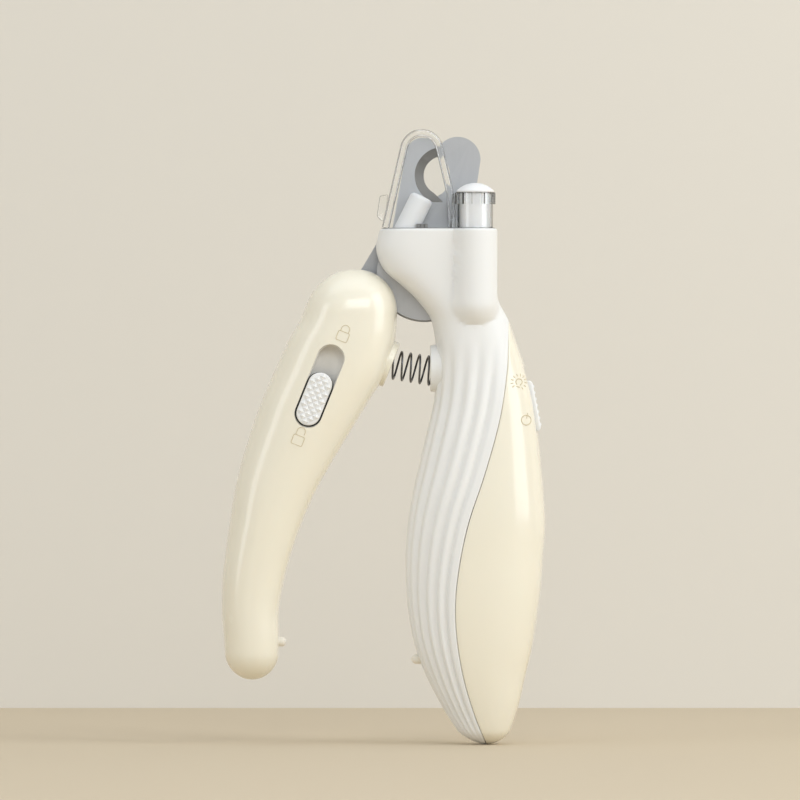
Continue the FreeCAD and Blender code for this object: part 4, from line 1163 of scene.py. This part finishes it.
def collarBlock():
    inner, outer = guard["sleeveOut"] - 0.1, guard["bandOut"]
    spread = math.radians(10.5)
    bm = bmesh.new()
    columns = []
    for k in range(7):
        a = -spread + 2 * spread * k / 6
        columns.append([bm.verts.new(Vector((r * math.cos(a), r * math.sin(a), z)) * mm)
                        for r, z in ((inner, guard["bandLow"]), (outer, guard["bandLow"]),
                                     (outer, guard["bandHigh"]), (inner, guard["bandHigh"]))])
    skin(bm, columns)
    sharp = [e for e in bm.edges if e.calc_face_angle(0) > 0.8]
    bmesh.ops.bevel(bm, geom=sharp, offset=0.07 * mm, segments=2, affect="EDGES")
    return meshFrom(bm, "collarBlock")


def makeGuard():
    shield = addObject("clearGuard", archMesh())
    pane = prismMesh(archPath(0.75), guard["front"] + 0.15, guard["front"] + 0.15 + guard["pane"])
    boolean(shield, [pane], "UNION")
    inner, outer, low, high = guard["sleeveIn"], guard["sleeveOut"], guard["low"], guard["bandHigh"]
    sleeve = aroundLamp("guardSleeve", [
        (inner, low), (outer - 0.08, low), (outer, low + 0.08), (outer, high - 0.1),
        (outer + 0.35, high - 0.05), (outer + 0.35, high + 0.05), (outer + 0.3, high + 0.1),
        (inner + 0.05, high + 0.1), (inner, high + 0.05), (inner, low)])
    x, front = guard["rightFoot"], guard["front"]
    linkOutline = roundedBoxPoints(x - 0.9, x + 0.75, low, 107.0, 0.2)
    link = addObject("guardLink", prismMesh(linkOutline, front + 0.5, front + 1.7))
    tab = addObject("guardTab", prismMesh(guard["tab"], -6.4, -3.6))
    for piece, width in ((link, 0.12), (tab, 0.3)):
        bevelEdges(piece, width)
    tree, sockets = aroundTree()
    values = {"Count": guard["blocks"], "Material": materials["clearPlastic"]}
    blocks = runTree("guardCollar", tree, sockets, values, collarBlock())
    blocks.data.transform(Matrix.Rotation(math.radians(9), 4, "Z"))
    blocks.data.transform(Matrix.Translation(Vector((lamp["x"], lamp["y"], 0)) * mm))
    finishPiece(shield, "guard_swing", "clearPlastic", ["guard"], 30)
    for piece in (sleeve, link, tab, blocks):
        finishPiece(piece, "guard_swing", "clearPlastic", degrees=30)
    ring = []
    steps = 120
    for inset in (0.42, 1.3):
        for k in range(steps):
            a = 2 * math.pi * k / steps
            m, r = gripReach(grip["high"], a, inset)
            ring.append((m + r * math.cos(a), r * math.sin(a)))
    bm = bmesh.new()
    rows = []
    for z in (grip["high"] - 0.05, grip["high"] + 0.11):
        rows.append([bm.verts.new(Vector((x, y, z)) * mm) for x, y in ring])
    low, high = rows
    for k in range(steps):
        n = (k + 1) % steps
        bm.faces.new((low[k], low[n], high[n], high[k]))
        bm.faces.new((high[k], high[n], high[n + steps], high[k + steps]))
        bm.faces.new((low[k + steps], high[k + steps], high[n + steps], low[n + steps]))
        bm.faces.new((low[k], low[k + steps], low[n + steps], low[n]))
    rim = addObject("deckRim", meshFrom(bm, "deckRim"))
    boolean(rim, [holeMesh(lamp["x"], lamp["y"], 99.0, guard["sleeveOut"] + 0.15, 4, (0, 0, 1), 64)])
    finishPiece(rim, "body", "seamGrey")
    print("guard ready")


softenedNodes = (
    # node, name, body, slot, finish, bevel width
    ("fixed_blade", "fixedBlade", "body", "blade_steel", "bladeSteel", 0.06),
    ("moving_blade", "movingBlade", "lever", "blade_steel", "bladeSteel", 0.06),
    ("lock_bar", "lockBar", "lock", "blade_steel", "bladeSteel", 0.05),
    ("lock_track", "lockTrack", "lever", "recess_grey", "recessGrey", 0.05),
    ("guard_catch", "guardCatch", "body", "seam_grey", "seamGrey", 0.05),
    ("switch_body", "switchBody", "body", "switch_black", "blackAndSlotShade", 0.08),
    ("battery_holder", "batteryHolder", "body", "switch_black", "blackAndSlotShade", 0.08),
)


springCup = {"face": (9.1, 0, 73.3), "radius": 4.58, "edge": 0.35, "bore": 3.95, "deep": 4.2, "back": 5.1}


def makeHardware():
    for node, name, body, slotName, finish, width in softenedNodes:
        softened(node, name, body, finish, width)
    cups = (("body_spring_cup", "gripSpringCup", "body", "white_plastic", "whiteSatin",
             springCup["face"], Vector((1, 0, 0))),
            ("lever_spring_cup", "leverSpringCup", "lever", "cream_plastic", "creamGloss",
             leverCupFace, -leverCupDirection))
    for node, name, body, slotName, finish, face, inward in cups:
        r, edge, back = springCup["radius"], springCup["edge"], springCup["back"]
        bore, deep = springCup["bore"], springCup["deep"]
        profile = [(r, back), (r, edge)]
        for a in (math.radians(30), math.radians(60), math.radians(90)):
            profile.append((r - edge + edge * math.cos(a), edge - edge * math.sin(a)))
        profile += [(bore + 0.1, 0.0), (bore, 0.1), (bore, deep), (0.0, deep), (0.0, back), (r, back)]
        cup = addObject(name, spunMesh(profile, face, inward, 80))
        finishPiece(cup, body, finish, [node])
    print("hardware ready")


def frontOf(form, x, z):
    middle, halfWidth, halfDepth, square = section(form, z)
    share = min(abs(x - middle) / halfWidth, 0.999)
    return (x, -halfDepth * (1 - share ** square) ** (1 / square), z)


def markLines(form, place, lean, lines, radius):
    meshes = []
    for closed, points in lines:
        placed = []
        for across, up in points:
            placed.append(frontOf(form, *leaned(*place, lean, up, across)))
        meshes.append(tubeMesh(placed, radius, 8, closed))
    return meshes


def arcPoints(cx, cz, r, start, end, steps=14):
    return [(cx + r * math.cos(math.radians(start + (end - start) * k / steps)),
             cz + r * math.sin(math.radians(start + (end - start) * k / steps))) for k in range(steps + 1)]


def padlockLines(opened):
    case = [(-1.0, -1.45), (1.0, -1.45)] + arcPoints(1.0, -1.15, 0.3, -90, 0, 4) + [(1.3, -0.2)]
    case += arcPoints(1.0, 0.1, 0.3, 0, 90, 4) + [(-1.0, 0.4)]
    case += arcPoints(-1.0, 0.1, 0.3, 90, 180, 4) + [(-1.3, -1.15)]
    case += arcPoints(-1.0, -1.15, 0.3, 180, 270, 4)
    case = [(x * 0.86, z) for x, z in dict.fromkeys(case)]
    lift = 0.35 if opened else 0.0
    bow = [(-0.8, 0.4)] + arcPoints(0.0, 0.95 + lift, 0.8, 180, 0, 16)
    bow += [(0.8, 0.4)] if not opened else [(0.8, 0.85)]
    return [(True, case), (False, bow)]


markSpec = {
    "lockLine": 0.08, "lockClosed": (-7.7, 79.9), "lockOpen": (-16.4, 59.8),
    "switchLine": 0.11, "light": (26.3, 70.6), "ring": (27.7, 63.2), "lean": 12.0,
}


def makeMarks():
    lockLine, switchLine, lean = markSpec["lockLine"], markSpec["switchLine"], markSpec["lean"]
    meshes = markLines(lever, markSpec["lockClosed"], lock["lean"], padlockLines(False), lockLine)
    meshes += markLines(lever, markSpec["lockOpen"], lock["lean"], padlockLines(True), lockLine)
    marks = addObject("lockMarks", joinMeshes("lockMarks", meshes))
    finishPiece(marks, "lever", "markTan")
    lines = [(False, arcPoints(0, 0, 0.62, -60, 240, 16)), (False, [(-0.3, -0.95), (0.3, -0.95)])]
    for k in range(11):
        a = math.radians(-50 + 28 * k)
        lines.append((False, [(r * math.cos(a), r * math.sin(a)) for r in (1.15, 1.6)]))
    meshes = markLines(grip, markSpec["light"], lean, lines, switchLine)
    ring = [(True, arcPoints(0, 0, 0.95, 0, 345, 23)), (False, [(0, 0.35), (0, 1.4)])]
    meshes += markLines(grip, markSpec["ring"], lean, ring, switchLine)
    marks = addObject("switchMarks", joinMeshes("switchMarks", meshes))
    finishPiece(marks, "body", "markTan")
    print("marks ready")


plainNodes = {
    "screwSteel": ["battery_door_screw", "pivot_screw", "tang_screws", "lever_screws", "body_screws"],
    "cellSteel": ["button_cell_1", "button_cell_2", "button_cell_3"],
    "contactBrass": ["battery_plate_contact", "battery_spring_contact", "pivot_nut"],
    "boardGreen": ["circuit_board"],
    "wireRed": ["lamp_wires", "nail_light_wires"],
    "clearPlastic": ["lamp_led", "nail_light_led"],
    "whiteGloss": ["pivot_washer"],
    "bumperSoft": ["lever_bumper", "body_bumper"],
    "springSteel": ["lock_detent_spring"],
}


def paintFrameNodes():      # nodes shown as they are only get a finish
    for finish, nodes in plainNodes.items():
        for node in nodes:
            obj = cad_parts[node]
            if not obj.material_slots:
                obj.data.materials.append(materials[finish])
            for slot in obj.material_slots:
                slot.material = materials[finish]
    print("frame nodes painted")


def backdropFinish(name, colour, scale):
    material, tree, shader = newMaterial(name)
    share = times(tree, noiseNode(tree, objectPlace(tree), scale), 0.06)
    setInputs(tree, shader, {
        "Base Color": mixColour(tree, share, linear(*colour), linear(*[c * 0.9 for c in colour])),
        "Alpha": minus(tree, 1.0, surfaceOf(tree, "Backfacing")),       # clear from behind
        "Roughness": 0.75,
    })
    return material


room = {"wallY": 177.0, "size": 2.5, "floor": (207, 192, 167), "wall": (226, 221, 211)}


def makeRoom():
    size = room["size"]
    floor = bpy.data.meshes.new("floor")
    wall = bpy.data.meshes.new("wall")
    y = room["wallY"] * mm
    floor.from_pydata([(-size, -size, 0), (size, -size, 0), (size, y, 0), (-size, y, 0)], [], [(0, 1, 2, 3)])
    wall.from_pydata([(-size, y, 0), (size, y, 0), (size, y, size), (-size, y, size)], [], [(0, 1, 2, 3)])
    for name, mesh in (("floor", floor), ("wall", wall)):
        obj = addObject(name, mesh)
        mesh.materials.append(backdropFinish(name, room[name], 3.0))


def areaLight(name, place, target, width, height, power, colour):
    light = bpy.data.lights.new(name, "AREA")
    light.shape = "RECTANGLE"
    light.size = width
    light.size_y = height
    light.energy = power
    light.color = colour
    obj = bpy.data.objects.new(name, light)
    bpy.context.scene.collection.objects.link(obj)
    obj.location = place
    obj.rotation_euler = (Vector(target) - Vector(place)).to_track_quat("-Z", "Y").to_euler()


studio = {
    "world": (0.935, 0.97, 1.0, 1), "strength": 0.5, "white": (0.945, 0.975, 1.0),
    # place, target, width, height, watts
    "rightBox": ((0.60, -0.30, 0.37), (0, 0, 0.10), 0.46, 0.7, 2.5),
    "frontBox": ((0.2, -0.85, 0.6), (0, 0, 0.06), 0.6, 0.4, 2.4),
    "leftLight": ((-0.6, -0.45, 0.25), (0, 0, 0.06), 0.25, 0.6, 0.9),
    "topLight": ((0.0, -0.05, 0.9), (0, 0.05, 0.05), 1.2, 0.6, 1.7),
}


def makeLights():
    bpy.context.scene.view_settings.view_transform = "Standard"
    world = bpy.data.worlds.new("studio")
    bpy.context.scene.world = world
    world.use_nodes = True
    background = world.node_tree.nodes["Background"]
    setInputs(world.node_tree, background, {"Color": studio["world"], "Strength": studio["strength"]})
    for name in ("rightBox", "frontBox", "leftLight", "topLight"):
        areaLight(name, *studio[name], studio["white"])


camera = {"x": 3.2, "y": -1500.0, "z": 67.1, "lens": 346.3}


def makeCamera():
    data = bpy.data.cameras.new("camera")
    data.lens = camera["lens"]
    data.sensor_width = 36.0
    data.clip_start = 0.01
    data.clip_end = 20.0
    obj = bpy.data.objects.new("camera", data)
    bpy.context.scene.collection.objects.link(obj)
    obj.location = (camera["x"] * mm, camera["y"] * mm, camera["z"] * mm)
    obj.rotation_euler = (math.radians(90), 0, 0)
    bpy.context.scene.camera = obj


for step in (makeRoom, makeLights, makeCamera, makeBody, makeCover, makeLever, makeSpring, makeLock,
             makeSwitch, makeLamp, makeGuard, makeHardware, makeMarks, paintFrameNodes):
    step()
